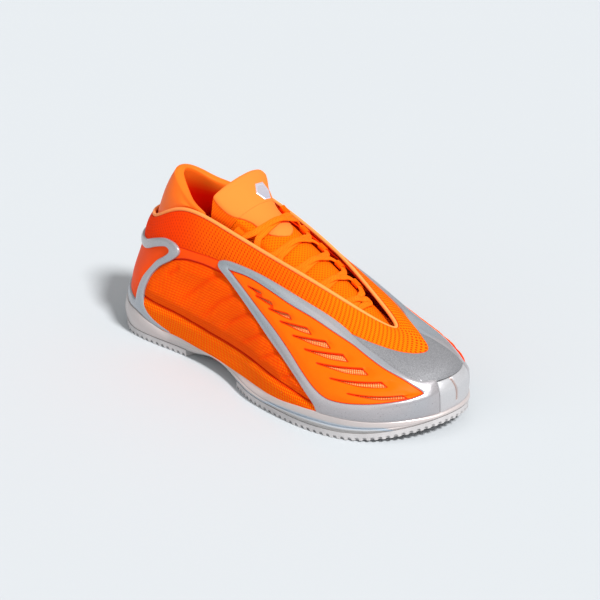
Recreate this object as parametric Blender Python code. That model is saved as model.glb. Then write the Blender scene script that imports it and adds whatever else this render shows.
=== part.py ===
"""Mid-cut basketball shoe for the right foot, laced and empty, standing on its outsole.

Every panel of the upper follows one last-shaped surface: five closed rings (sole edge to shroud edge),
each through twelve stations from the heel round the lateral side to the toe and back. A place on it is
(u, t): u in stations, t in rings, and pieces sit at an offset in millimetres along its normal.
Construction is in millimetres with the heel on the X axis, +X to the toe and +Y medial, then moved so
that the box round the shoe is centred over the origin and stands on Z = 0.
"""

import math

import bmesh
import bpy
import numpy as np
from mathutils.geometry import delaunay_2d_cdt

MM = 0.001
BOX_CENTRE = (-3.5, -6.0)

# Stations: heel, lateral heel, rear quarter, waist, ball, toe corner, toe, then the medial side back.
RINGS = np.array([
    [(-144, 0, 14), (-123, -32, 12), (-75, -35, 12), (-15, -42.5, 11), (46, -59, 11), (108, -46, 13),
     (137, 3, 17), (112, 38, 15), (58, 46, 12), (-10, 31, 12), (-75, 30, 12), (-124, 29, 12)],
    [(-142, 0, 38), (-118, -32, 38), (-74, -39, 36), (-15, -43, 34), (46, -58, 30), (110, -48, 28),
     (137, 2, 31), (112, 38, 30), (58, 45, 32), (-10, 34, 36), (-74, 33, 38), (-121, 29, 38)],
    [(-136, 0, 57), (-114, -28, 56), (-74, -36, 56), (-18, -40, 54), (40, -48, 49), (100, -38, 43),
     (131, 1, 44), (105, 31, 45), (50, 38, 50), (-14, 34, 56), (-73, 32, 58), (-116, 26, 57)],
    [(-131, 0, 73), (-111, -25, 74), (-74, -33, 79), (-26, -34, 76), (26, -35, 69), (78, -25, 58),
     (107, 2, 53), (84, 22, 57), (36, 30, 68), (-20, 30, 77), (-72, 30, 80), (-112, 24, 74)],
    [(-126, 0, 84), (-109, -21, 88), (-76, -28, 104), (-35, -27, 100), (11, -25, 90), (54, -18, 77),
     (88, 2, 58), (58, 13, 72), (18, 23, 85), (-29, 27, 99), (-74, 28, 104), (-109, 21, 88)],
], float)

SKIN = (-2.2, 0.0)
BOOTIE = (-6.4, -4.6)
INNER_LAYER = (-3.7, -2.7)
COUNTER = (-3.8, -3.1)
OVERLAY = (0.7, 2.2)
PANEL = (0.7, 1.5)
GUARD = (-2.2, 2.0)
SEAM = 0.5
STEP = 5.5

GROUND_FLAT = (-118.0, 86.0)
TOE_SPRING = 9.0
HEEL_BEVEL = 3.5
OUTSOLE_THICK = 4.8
ARCH = (-64.0, -4.0)
ARCH_RISE = 4.5
POD_GAP = 0.7
TOOTH_PITCH = 5.0
TOOTH_DEPTH = 1.1

PIPING_RADIUS = 1.5
EDGE_STEP = 6.8
LACE_RADIUS = 1.5

COLOURS = {
    "mesh_orange": (0.95, 0.22, 0.03), "smooth_orange": (0.98, 0.30, 0.06),
    "piping_orange": (1.0, 0.42, 0.14), "lining_red": (0.85, 0.10, 0.03),
    "vent_orange": (0.98, 0.28, 0.03), "lace_orange": (1.0, 0.33, 0.07),
    "pearl": (0.66, 0.67, 0.73), "pearl_sole": (0.80, 0.79, 0.81), "grey_textile": (0.52, 0.52, 0.55),
    "rubber_grey": (0.72, 0.73, 0.74), "board_white": (0.85, 0.85, 0.83), "shank_grey": (0.45, 0.46, 0.49),
    "foam_orange": (0.95, 0.36, 0.12), "counter_white": (0.80, 0.78, 0.74),
}


# ---------------------------------------------------------------- the last's surface

def periodic(values, u):
    """Closed cubic B-spline through the rows of values at whole numbers of u."""
    count = len(values)
    matrix = np.zeros((count, count))
    for i in range(count):
        matrix[i, i] = 4
        matrix[i, (i + 1) % count] = 1
        matrix[i, (i - 1) % count] = 1
    poles = np.linalg.solve(matrix, 6 * values)
    u = np.asarray(u, float) % count
    i = np.floor(u).astype(int)
    f = u - i
    weights = [(1 - f) ** 3, 3 * f ** 3 - 6 * f ** 2 + 4, -3 * f ** 3 + 3 * f ** 2 + 3 * f + 1, f ** 3]
    return sum(w[:, None] / 6 * poles[(i + k - 1) % count] for k, w in enumerate(weights))


def through(rows, t):
    """A natural cubic through the rows at whole numbers of t. Row k holds a value for each entry of t."""
    last = len(rows) - 1
    matrix = np.eye(last + 1)
    bends = np.zeros_like(rows)
    for i in range(1, last):
        matrix[i, i - 1:i + 2] = (1, 4, 1)
        bends[i] = 6 * (rows[i + 1] - 2 * rows[i] + rows[i - 1])
    bends = np.tensordot(np.linalg.inv(matrix), bends, axes=1)
    i = np.clip(np.floor(t).astype(int), 0, last - 1)
    f = (t - i)[:, None]
    g = 1 - f
    k = np.arange(len(t))
    low, high = rows[i, k], rows[i + 1, k]
    return low * g + high * f + ((g ** 3 - g) * bends[i, k] + (f ** 3 - f) * bends[i + 1, k]) / 6


def surface(u, t):
    """Points at (u, t): closed splines round each ring, then a natural cubic up through the rings."""
    u = np.atleast_1d(np.asarray(u, float))
    t = np.broadcast_to(np.asarray(t, float), u.shape)
    return through(np.stack([periodic(ring, u) for ring in RINGS]), t)


def through_table(table, place):
    """One row of a table, read between its rows by a natural cubic."""
    rows = np.array(table, float)[:, None, :]
    return through(rows, np.array([float(place)]))[0]


def unit(vectors):
    return vectors / np.linalg.norm(vectors, axis=-1, keepdims=True)


def normal(u, t):
    u = np.atleast_1d(np.asarray(u, float))
    t = np.broadcast_to(np.asarray(t, float), u.shape)
    along = surface(u + 0.02, t) - surface(u - 0.02, t)
    upward = surface(u, t + 0.02) - surface(u, t - 0.02)
    return unit(np.cross(along, upward))


def offset(u, t, distance):
    return surface(u, t) + normal(u, t) * distance


def edge_up(u):
    """Direction up the last's surface, square to the shroud's edge."""
    u = np.atleast_1d(np.asarray(u, float))
    along = surface(u + 0.02, 4.0) - surface(u - 0.02, 4.0)
    return unit(np.cross(normal(u, 4.0), along))


# ---------------------------------------------------------------- object helpers

def material(slot):
    found = bpy.data.materials.get(slot)
    if found:
        return found
    made = bpy.data.materials.new(slot)
    made.use_nodes = True
    shader = made.node_tree.nodes["Principled BSDF"]
    shader.inputs["Base Color"].default_value = (*COLOURS[slot], 1)
    shader.inputs["Roughness"].default_value = 0.35 if slot.startswith("pearl") else 0.75
    return made


def place(obj, slot):
    obj.data.materials.append(material(slot))
    bpy.data.collections["basketball_shoe"].objects.link(obj)
    return obj


def solid(name, points, faces, slot):
    """One closed mesh from points in millimetres, its faces turned outward."""
    mesh = bpy.data.meshes.new(name)
    shifted = (np.asarray(points, float) - np.array([*BOX_CENTRE, 0])) * MM
    mesh.from_pydata(shifted.tolist(), [], [list(map(int, face)) for face in faces])
    built = bmesh.new()
    built.from_mesh(mesh)
    bmesh.ops.recalc_face_normals(built, faces=built.faces)
    built.to_mesh(mesh)
    built.free()
    return place(bpy.data.objects.new(name, mesh), slot)


def curve(name, points, radius, slot, closed=False, resolution=2):
    """A round cord along the points, as a mesh with filled ends."""
    data = bpy.data.curves.new(name, "CURVE")
    data.dimensions = "3D"
    data.bevel_depth = radius * MM
    data.bevel_resolution = resolution
    data.use_fill_caps = not closed
    spline = data.splines.new("POLY")
    spline.points.add(len(points) - 1)
    spline.use_cyclic_u = closed
    for knot, point in zip(spline.points, points):
        knot.co = ((point[0] - BOX_CENTRE[0]) * MM, (point[1] - BOX_CENTRE[1]) * MM, point[2] * MM, 1)
    return place(bpy.data.objects.new(name, data), slot)


# ---------------------------------------------------------------- outlines and shells

def smooth_run(points, step):
    """Points along a Catmull-Rom curve through the given ones, about a step of millimetres apart."""
    p = np.array(points, float)
    if len(p) > 2:
        ends = np.vstack([2 * p[0] - p[1], p, 2 * p[-1] - p[-2]])
        dense = [p[0]]
        for a, b, c, d in zip(ends, ends[1:], ends[2:], ends[3:]):
            for f in np.linspace(0, 1, 13)[1:]:
                dense.append(0.5 * (2 * b + (c - a) * f + (2 * a - 5 * b + 4 * c - d) * f ** 2
                                    + (3 * b - a - 3 * c + d) * f ** 3))
        p = np.array(dense)
    lengths = np.r_[0, np.cumsum(np.linalg.norm(np.diff(p, axis=0) * SCALE, axis=1))]
    count = max(1, round(lengths[-1] / step))
    wanted = np.linspace(0, lengths[-1], count + 1)
    return np.stack([np.interp(wanted, lengths, p[:, k]) for k in (0, 1)], 1)


SCALE = np.array([40.0, 20.0])


def outline(runs, step=STEP):
    """A closed outline of smooth runs, each starting where the one before it ends."""
    return np.vstack([smooth_run(run, step)[:-1] for run in runs])


def mirror_u(u):
    """The medial station across the shoe from a lateral one. The toe guard reaches further round there."""
    return 12 - u if u <= 5 else 7 - (u - 5) * 0.47 / 0.75


def mirrored(points):
    return np.array([(mirror_u(u), t) for u, t in points])[::-1]


def inset(points, distance):
    """The outline moved inward by a distance in millimetres."""
    p = np.asarray(points) * SCALE
    along = unit(np.roll(p, -1, 0) - np.roll(p, 1, 0))
    inward = np.stack([-along[:, 1], along[:, 0]], 1)
    if area(p) < 0:
        inward = -inward
    return (p + inward * distance) / SCALE


def area(p):
    nxt = np.roll(p, -1, 0)
    return 0.5 * float(np.sum(p[:, 0] * nxt[:, 1] - nxt[:, 0] * p[:, 1]))


def inside(points, polygon):
    x, y = points[:, 0], points[:, 1]
    hit = np.zeros(len(points), bool)
    for (x0, y0), (x1, y1) in zip(polygon, np.roll(polygon, -1, 0)):
        crosses = (y0 > y) != (y1 > y)
        with np.errstate(divide="ignore", invalid="ignore"):
            hit ^= crosses & (x < (x1 - x0) * (y - y0) / (y1 - y0) + x0)
    return hit


def far_from(points, loop, distance):
    gaps = np.linalg.norm(points[:, None] - loop[None], axis=2).min(axis=1)
    return gaps > distance


def triangulate(border, holes, scale, grid):
    """A triangle mesh of the outline less its holes, with inner points on a grid."""
    loops = [np.asarray(loop) * scale for loop in (border, *holes)]
    low, high = loops[0].min(0), loops[0].max(0)
    xs = np.arange(low[0] + grid / 2, high[0], grid)
    ys = np.arange(low[1] + grid / 2, high[1], grid)
    inner = np.stack(np.meshgrid(xs, ys), -1).reshape(-1, 2)
    keep = inside(inner, loops[0])
    for k, loop in enumerate(loops):
        keep &= far_from(inner, loop, grid * 0.55)
        if k:
            keep &= ~inside(inner, loop)
    inner = inner[keep]
    points = np.vstack([*loops, inner])
    edges = []
    first = 0
    for loop in loops:
        edges += [(first + i, first + (i + 1) % len(loop)) for i in range(len(loop))]
        first += len(loop)
    flat, _, found, *_ = delaunay_2d_cdt(points.tolist(), edges, [], 0, 1e-6)
    flat = np.array([(p[0], p[1]) for p in flat])
    faces = np.array(found)
    centres = flat[faces].mean(1)
    keep = inside(centres, loops[0])
    for loop in loops[1:]:
        keep &= ~inside(centres, loop)
    return flat / scale, faces[keep]


def thicken(lower, upper, faces):
    """A closed body between two layers of the same triangles, walled along every open edge."""
    count = len(lower)
    faces = [tuple(map(int, face)) for face in faces]
    directed = {(f[i], f[(i + 1) % 3]) for f in faces for i in range(3)}
    walls = [(a, b, b + count, a + count) for a, b in sorted(directed) if (b, a) not in directed]
    top = [tuple(i + count for i in face) for face in faces]
    bottom = [face[::-1] for face in faces]
    return np.vstack([lower, upper]), bottom + top + walls


def shell(name, border, layer, slot, holes=(), grid=9.0):
    """A panel of the upper: an outline in (u, t) between two offsets, with its edges square to the last."""
    flat, faces = triangulate(border, holes, SCALE, grid)
    lower = offset(flat[:, 0], flat[:, 1], layer[0])
    upper = offset(flat[:, 0], flat[:, 1], layer[1])
    return solid(name, *thicken(lower, upper, faces), slot)


def grid_tube(name, columns, slot, closed_round=True):
    """A closed body from a list of like sections, joined in a ring or capped at both ends."""
    columns = np.array(columns)
    count, size = columns.shape[:2]
    faces = []
    for i in range(count if closed_round else count - 1):
        for j in range(size):
            a, b = i * size, (i + 1) % count * size
            faces.append((a + j, b + j, b + (j + 1) % size, a + (j + 1) % size))
    if not closed_round:
        faces.append(tuple(range(size)))
        faces.append(tuple(range((count - 1) * size, count * size)))
    return solid(name, columns.reshape(-1, 3), faces, slot)


# ---------------------------------------------------------------- sole heights

def ground(x):
    """Underside of the outsole: flat, with a bevelled heel and a sprung toe."""
    x = np.asarray(x, float)
    toe = np.clip((x - GROUND_FLAT[1]) / 52, 0, None) ** 2 * TOE_SPRING
    heel = np.clip((GROUND_FLAT[0] - x) / 26, 0, None) ** 2 * HEEL_BEVEL
    return toe + heel


def midsole_under(x):
    """Underside of the midsole: it sits on the outsole and arches up at the waist."""
    x = np.asarray(x, float)
    f = np.clip((x - ARCH[0]) / (ARCH[1] - ARCH[0]), 0, 1)
    return ground(x) + OUTSOLE_THICK + POD_GAP + ARCH_RISE * np.sin(math.pi * f) ** 2


def sole_point(u, out):
    """A point at the sole edge moved outward on the level."""
    base = periodic(RINGS[0], u)
    along = periodic(RINGS[0], np.asarray(u) + 0.02) - periodic(RINGS[0], np.asarray(u) - 0.02)
    away = unit(np.stack([along[:, 1], -along[:, 0], 0 * along[:, 0]], 1))
    return base + away * np.broadcast_to(out, len(base))[:, None]


LATERAL_COLUMNS = np.array([0, 0.25, 0.5, 0.75, 1, 1.3, 1.7, 2.1, 2.4, 2.7, 3.0, 3.3, 3.65, 4, 4.3, 4.6, 4.85,
                            5.05, 5.25, 5.45, 5.65, 5.82, 6])
COLUMNS = np.concatenate([LATERAL_COLUMNS, 12 - LATERAL_COLUMNS[-2:0:-1]])


def ladder(count, first, flip):
    """Faces across a ring of columns, each lateral column joined to the medial one across from it."""
    half = len(LATERAL_COLUMNS)
    faces = []
    for k in range(half - 1):
        a, b = k, k + 1
        c, d = (count - k - 1) % count, (count - k) % count
        ring = [first + a, first + b, first + c, first + d]
        face = list(dict.fromkeys(ring))
        faces.append(face[::-1] if flip else face)
    return faces


def ring_stack(name, rings, slot):
    """A closed body from a stack of like rings of columns, its first and last ring crossed by a ladder."""
    count = len(COLUMNS)
    faces = []
    for k in range(len(rings) - 1):
        for i in range(count):
            j = (i + 1) % count
            faces.append((k * count + i, k * count + j, (k + 1) * count + j, (k + 1) * count + i))
    faces += ladder(count, 0, True)
    faces += ladder(count, (len(rings) - 1) * count, False)
    return solid(name, np.vstack(rings), faces, slot)


def at_height(points, z):
    out = points.copy()
    out[:, 2] = z
    return out


# ---------------------------------------------------------------- bottom unit

# Ring height t of the midsole's upper edge: a low rim, higher round the heel and beside the ball.
RIM = [(0, 0.29), (1.2, 0.29), (1.75, 0.03), (3.7, 0.03), (3.95, 0.09), (4.2, 0.21), (4.42, 0.28), (4.7, 0.26),
       (5.07, 0.19), (5.4, 0.11), (5.7, 0.04), (6.53, 0.04), (6.75, 0.11), (6.95, 0.19), (7.3, 0.26),
       (7.58, 0.28), (7.8, 0.21), (8.05, 0.09), (8.3, 0.03), (10.25, 0.03), (10.8, 0.29), (12, 0.29)]
OUTRIGGER = (3.45, 0.35, 3.0)


def rim_top(u):
    stations, heights = np.array(RIM).T
    return np.interp(u, stations, heights)


def outrigger(u):
    """How far the sole flares out at the ground, beside the ball of the foot on the lateral side."""
    centre, spread, reach = OUTRIGGER
    return reach * np.exp(-((np.asarray(u, float) - centre) / spread) ** 2)


def build_midsole():
    foot = sole_point(COLUMNS, 1.2 + outrigger(COLUMNS))
    low = at_height(foot, midsole_under(foot[:, 0]))
    top_t = rim_top(COLUMNS)
    crown = offset(COLUMNS, top_t, 2.8)
    inner_top = offset(COLUMNS, top_t, 0.8)
    belly = sole_point(COLUMNS, 3.2 + 0.6 * outrigger(COLUMNS))
    belly = at_height(belly, 0.55 * crown[:, 2] + 0.45 * low[:, 2])
    floor = sole_point(COLUMNS, 0.8)
    floor = at_height(floor, periodic(RINGS[0], COLUMNS)[:, 2] - 0.9)
    floor[:, :2] = np.where((top_t > 0.1)[:, None], floor[:, :2], inner_top[:, :2])
    ring_stack("midsole", [low, belly, crown, inner_top, floor], "pearl_sole")


def strobel_ring(out, rise):
    ring = sole_point(COLUMNS, out)
    return at_height(ring, periodic(RINGS[0], COLUMNS)[:, 2] + rise)


def build_inner_boards():
    ring_stack("strobel_board", [strobel_ring(-3.0, -0.5), strobel_ring(-3.0, 0.9)], "board_white")
    lowest, highest = strobel_ring(-7.6, 1.3), strobel_ring(-7.6, 5.2)
    ring_stack("sockliner", [lowest, highest], "foam_orange")


def toothed_edge(start, end, out):
    """Outline of a pod along the sole, with a tooth at every pitch."""
    u = np.linspace(start, end, 400)
    edge = sole_point(u, out)[:, :2]
    lengths = np.r_[0, np.cumsum(np.linalg.norm(np.diff(edge, axis=0), axis=1))]
    count = int(lengths[-1] / TOOTH_PITCH)
    stations = np.interp(np.linspace(0, lengths[-1], 2 * count + 1), lengths, u)
    teeth = np.where(np.arange(2 * count + 1) % 2, out, out - TOOTH_DEPTH)
    return sole_point(stations, teeth + outrigger(stations))[:, :2]


def build_pod(name, start_u, end_u, bulge):
    """An outsole pod: toothed along the sole, with a plain curved end across the waist."""
    edge = toothed_edge(start_u, end_u, 2.4)
    share = np.linspace(0, 1, 9)[1:-1, None]
    across = edge[-1] * (1 - share) + edge[0] * share
    across[:, 0] += bulge * np.sin(math.pi * share[:, 0])
    border = np.vstack([edge, across])
    flat, faces = triangulate(border, [], np.array([1.0, 1.0]), 16.0)
    under = ground(flat[:, 0])
    lower = np.column_stack([flat, under])
    upper = np.column_stack([flat, under + OUTSOLE_THICK])
    return solid(name, *thicken(lower, upper, faces), "rubber_grey")


def cut_grooves(pod, centres, half_width, depth):
    """Flex grooves across a pod, cut from below by one comb of bars."""
    mesh = bpy.data.meshes.new(pod.name + "_grooves")
    comb = bmesh.new()
    for x in centres:
        size = (2.4, 2 * half_width, 2 * depth)
        made = bmesh.ops.create_cube(comb, size=1)["verts"]
        bmesh.ops.scale(comb, vec=size, verts=made)
        bmesh.ops.translate(comb, vec=(x - BOX_CENTRE[0], -5 - BOX_CENTRE[1], 0), verts=made)
    bmesh.ops.scale(comb, vec=(MM, MM, MM), verts=comb.verts)
    comb.to_mesh(mesh)
    comb.free()
    cutter = bpy.data.objects.new(mesh.name, mesh)
    bpy.data.collections["cutters"].objects.link(cutter)
    cutter.hide_render = True
    cutter.display_type = "WIRE"
    cut = pod.modifiers.new("grooves", "BOOLEAN")
    cut.object = cutter
    cut.operation = "DIFFERENCE"
    cut.solver = "EXACT"


def build_outsole():
    forefoot = build_pod("outsole_forefoot", 3.13, 8.95, -9.0)
    cut_grooves(forefoot, (14, 31, 48, 65, 82), 34, 1.8)
    heel = build_pod("outsole_heel", 9.85, 14.15, 7.0)
    cut_grooves(heel, (-104, -84), 20, 1.8)


def build_shank():
    """The moulded bridge seen under the raised waist, between the two outsole pods."""
    flat = []
    for x, half in ((-50, 18), (-40, 22), (-31, 24), (-22, 25)):
        flat.append((x, half))
    border = [(x, -3 - half) for x, half in flat] + [(x, -3 + half) for x, half in flat[::-1]]
    points, faces = triangulate(np.array(border, float), [], np.array([1.0, 1.0]), 12.0)
    top = midsole_under(points[:, 0]) - 1.0
    lower = np.column_stack([points, top - 2.2])
    upper = np.column_stack([points, top])
    solid("midfoot_shank", *thicken(lower, upper, faces), "shank_grey")


# ---------------------------------------------------------------- panel outlines, lateral side

SHROUD_EDGE = [(0, 2.50), (0.5, 2.53), (0.94, 2.70), (1.23, 2.84), (1.6, 2.97), (1.9, 2.99), (2.23, 3.02),
               (2.5, 3.07), (2.8, 3.13), (3.2, 3.20), (3.6, 3.25), (4.1, 3.22), (4.6, 3.12), (4.86, 3.06),
               (5.09, 2.98), (5.33, 2.87), (5.56, 2.74), (5.81, 2.66), (6.0, 2.68), (6.15, 2.82),
               (6.3, 3.02), (6.5, 3.15), (6.8, 3.21), (7.2, 3.16), (7.5, 3.14), (7.9, 3.22), (8.4, 3.25),
               (8.8, 3.20), (9.2, 3.13), (9.5, 3.07), (9.77, 3.02), (10.1, 2.99), (10.4, 2.97),
               (10.77, 2.84), (11.06, 2.70), (11.5, 2.53), (12, 2.50)]
LEG_CENTRE = [(4.47, 0.5), (4.38, 0.9), (4.27, 1.2), (4.02, 1.6), (3.78, 1.92), (3.5, 2.25), (3.25, 2.56),
              (3.0, 2.82)]
BAND_SEAM = [(1.27, 0.82), (1.78, 0.80), (2.03, 0.79), (2.31, 0.72), (2.63, 0.65), (2.98, 0.65),
             (3.39, 0.71), (3.79, 0.72), (4.12, 0.68), (4.47, 0.5)]
STRAP_LOWER = [(1.72, 2.42), (1.81, 2.50), (2.10, 2.68), (2.37, 2.76), (2.62, 2.80), (3.0, 2.82)]
QUARTER_REAR = [(1.27, 0.82), (1.30, 1.28), (1.37, 1.70), (1.54, 2.14), (1.72, 2.42)]
TOE_LOWER = [(4.90, 3.02), (4.98, 2.76), (5.17, 2.42), (5.36, 2.02), (5.56, 1.66), (5.73, 1.60)]


def shroud_edge_between(start, end):
    return [p for p in SHROUD_EDGE if start <= p[0] <= end]


def quarter_outline():
    return outline([BAND_SEAM, LEG_CENTRE, STRAP_LOWER[::-1], QUARTER_REAR[::-1]])


def lower_band_outline():
    front = [(4.47, 0.5), (4.49, 0.25), (4.50, 0.06)]
    foot = [(4.50, 0.06), (3.8, 0.06), (3.0, 0.06), (2.2, 0.06), (1.5, 0.06)]
    rear = [(1.5, 0.06), (1.36, 0.42), (1.27, 0.82)]
    return outline([BAND_SEAM, front, foot, rear])


def strap_outline():
    top = [(3.0, 3.165)] + shroud_edge_between(1.9, 2.9)[::-1]
    rear = [(1.9, 2.99), (1.8, 2.72), (1.72, 2.42)]
    return outline([STRAP_LOWER, [(3.0, 2.82), (3.0, 3.165)], top, rear])


def insert_outline():
    """The heel panel, which reaches from one quarter round the heel to the other, under the heel clip."""
    rear = [(1.5, 0.06), (1.36, 0.42), (1.27, 0.82), (1.30, 1.28), (1.37, 1.70), (1.54, 2.14), (1.72, 2.42),
            (1.8, 2.72), (1.9, 2.99)]
    far = [(-u, t) for u, t in rear]
    top = [(-u, t) for u, t in shroud_edge_between(0.5, 1.9)[::-1]] + shroud_edge_between(0, 1.9)
    foot = [(1.5, 0.06), (0.75, 0.06), (0, 0.06), (-0.75, 0.06), (-1.5, 0.06)]
    return outline([rear[::-1], foot, far, top])


def vent_mesh_outline():
    leg = LEG_CENTRE + [(3.0, 2.82)]
    top = [(3.0, 3.165)] + shroud_edge_between(3.1, 4.87) + [(4.90, 3.02)]
    return outline([LEG_CENTRE[::-1], [(4.47, 0.5), (4.49, 0.25), (4.50, 0.06)],
                    [(4.50, 0.06), (5.1, 0.06), (5.73, 0.06)], [(5.73, 0.06), (5.73, 1.60)],
                    TOE_LOWER[::-1], top[::-1], [(3.0, 3.165), leg[-1]]])


def toe_panel_outline():
    medial = [(6.6, 3.16), (6.60, 2.4), (6.58, 1.9), (6.52, 1.50)]
    foot = [(6.52, 1.50), (6.14, 1.56), (5.86, 1.59), (5.73, 1.60)]
    top = [(4.90, 3.02)] + shroud_edge_between(5.0, 6.55) + [(6.6, 3.16)]
    return outline([TOE_LOWER, foot[::-1], medial[::-1], top[::-1]])


def medial_toe_lower():
    """The edge of the medial mesh along the toe panel, under the medial frame."""
    return [(6.6, 3.16), (6.60, 2.4), (6.58, 1.9), (6.52, 1.50)]


def vent_mesh_medial_outline():
    leg = [(mirror_u(u), t) for u, t in LEG_CENTRE]
    front = [(mirror_u(4.49), 0.25), (mirror_u(4.50), 0.06)]
    top = [(9.0, 3.165)] + shroud_edge_between(6.7, 8.9)[::-1] + [(6.6, 3.16)]
    return outline([leg[::-1], [leg[0]] + front, [front[-1], (7.0, 0.06), (6.52, 0.06)],
                    [(6.52, 0.06), (6.52, 1.50)], medial_toe_lower()[::-1], top[::-1],
                    [(9.0, 3.165), leg[-1]]])


FRAME_TOP = [(2.79, 3.02), (2.84, 3.15), (3.05, 3.27), (3.58, 3.37), (4.10, 3.36), (4.61, 3.29),
             (4.86, 3.12), (4.99, 2.84), (5.16, 2.54), (5.30, 2.20), (5.44, 1.92), (5.60, 1.74),
             (5.735, 1.68)]
FRAME_TOP_MEDIAL = [(9.21, 3.02), (9.16, 3.15), (8.95, 3.27), (8.42, 3.37), (7.90, 3.36), (7.45, 3.27),
                    (7.1, 3.24), (6.8, 3.27), (6.55, 3.20), (6.45, 2.95), (6.46, 2.4), (6.45, 1.98),
                    (6.53, 1.62)]
FRAME_FOOT = [(5.735, 0.08), (5.4, 0.16), (5.07, 0.24), (4.7, 0.31), (4.43, 0.33)]
FRAME_LEG = [(4.43, 0.33), (4.39, 0.56), (4.30, 0.84), (4.16, 1.16), (3.94, 1.50), (3.69, 1.78),
             (3.45, 2.08), (3.21, 2.40), (2.98, 2.72), (2.81, 2.92), (2.79, 3.02)]
WINDOW_TOP = [(2.99, 3.03), (3.38, 3.12), (3.73, 3.08), (4.05, 3.01), (4.36, 2.98), (4.58, 2.90),
              (4.86, 2.72), (5.0, 2.52), (5.18, 2.18), (5.37, 1.84), (5.53, 1.40), (5.56, 1.24)]
WINDOW_FOOT = [(5.56, 1.24), (5.41, 1.14), (5.19, 1.08), (4.93, 1.00), (4.72, 0.93), (4.56, 0.92),
               (4.47, 0.99)]
WINDOW_LEG = [(4.47, 0.99), (4.37, 1.14), (4.23, 1.40), (4.03, 1.76), (3.80, 2.08), (3.51, 2.40),
              (3.23, 2.74), (2.99, 3.03)]
# Each slot of the vent panel: rear end, front end and height in rings.
SLOTS = [((3.34, 2.86), (3.54, 2.90), 0.07), ((3.47, 2.72), (3.72, 2.79), 0.08),
         ((3.69, 2.58), (4.01, 2.72), 0.09), ((3.87, 2.42), (4.28, 2.62), 0.11),
         ((4.06, 2.24), (4.52, 2.50), 0.13), ((4.23, 2.05), (4.72, 2.32), 0.14),
         ((4.39, 1.84), (4.93, 2.08), 0.14), ((4.56, 1.58), (5.12, 1.75), 0.13),
         ((4.76, 1.28), (5.32, 1.30), 0.11)]


def window_outline():
    return outline([WINDOW_TOP, WINDOW_FOOT, WINDOW_LEG], 7.0)


def slot_outline(start, end, height):
    """A slot pointed at the rear and blunt at the front, its upper edge the straighter one."""
    start, end = np.array(start), np.array(end)
    up = np.array([0.0, height / 2])
    low = [start, start * 0.6 + end * 0.4 - up, end - up, end + (end - start) * 0.03]
    high = [end + up * 0.9, start * 0.45 + end * 0.55 + up]
    return np.array(low + high)


def vent_slots():
    return [slot_outline(*slot) for slot in SLOTS]


def build_wing(side):
    window = window_outline()
    slots = vent_slots()
    if side == "lateral":
        border = outline([FRAME_TOP, [(5.735, 1.68), (5.735, 0.08)],
                          FRAME_FOOT, FRAME_LEG])
    else:
        window = mirrored(window)
        slots = [mirrored(slot) for slot in slots]
        leg = [(mirror_u(u), t) for u, t in FRAME_LEG]
        border = outline([FRAME_TOP_MEDIAL, [(6.53, 1.62), (mirror_u(5.735), 0.08)],
                          [(mirror_u(u), t) for u, t in FRAME_FOOT], leg])
    shell("wing_frame_" + side, border, OVERLAY, "pearl", [window], 7.0)
    shell("vent_panel_" + side, inset(window, 0.8), PANEL, "vent_orange", slots)


def build_lateral_and_medial_skins():
    """The mesh and textile panels, all in one layer, with a seam gap between neighbours."""
    pairs = (("quarter", quarter_outline(), "mesh_orange"),
             ("lower_band", lower_band_outline(), "mesh_orange"),
             ("midfoot_strap", strap_outline(), "smooth_orange"))
    for name, border, slot in pairs:
        shell(name + "_lateral", inset(border, SEAM / 2), SKIN, slot)
        shell(name + "_medial", inset(mirrored(border), SEAM / 2), SKIN, slot)
    shell("vent_mesh_lateral", inset(vent_mesh_outline(), SEAM / 2), SKIN, "mesh_orange", grid=7.5)
    shell("vent_mesh_medial", inset(vent_mesh_medial_outline(), SEAM / 2), SKIN, "mesh_orange", grid=7.5)
    shell("toe_panel", inset(toe_panel_outline(), SEAM / 2), SKIN, "grey_textile")
    shell("heel_insert", inset(insert_outline(), SEAM / 2), SKIN, "smooth_orange")


def edge_stations():
    """Stations about evenly spaced along the shroud's edge, with a few more where it turns at the toe."""
    dense = np.linspace(0, 12, 961)
    points = periodic(RINGS[-1], dense)
    lengths = np.r_[0, np.cumsum(np.linalg.norm(np.diff(points, axis=0), axis=1))]
    count = int(lengths[-1] / EDGE_STEP)
    even = np.interp(np.linspace(0, lengths[-1], count + 1)[:-1], lengths, dense)
    clear = even[(even < 5.62) | (even > 6.38)]
    return np.sort(np.concatenate([clear, np.linspace(5.66, 6.34, 9)]))


def build_shroud():
    """The perforated mesh round the throat and collar, from its seam up to the piped edge."""
    u = edge_stations()
    edge = smooth_run(SHROUD_EDGE, 2.0)
    low = np.interp(u, edge[:, 0], edge[:, 1]) + SEAM / 2 / 20
    columns = []
    levels = np.array((0, 0.33, 0.67, 1))
    rise = np.sum((surface(u, 4.0) - surface(u, 3.9)) * edge_up(u), axis=1) * 10
    for station, bottom, top in zip(u, low, 4 - 1.4 / rise):
        t = bottom + (top - bottom) * levels
        s = np.full(len(levels), station)
        columns.append(np.vstack([offset(s, t, SKIN[0]), offset(s, t, SKIN[1])[::-1]]))
    grid_tube("shroud", columns, "mesh_orange")


def build_piping():
    u = edge_stations()
    centre = offset(u, 4.0, -1.1) + edge_up(u) * 0.6
    curve("shroud_piping", centre, PIPING_RADIUS, "piping_orange", closed=True, resolution=1)


# ---------------------------------------------------------------- heel and toe

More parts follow.
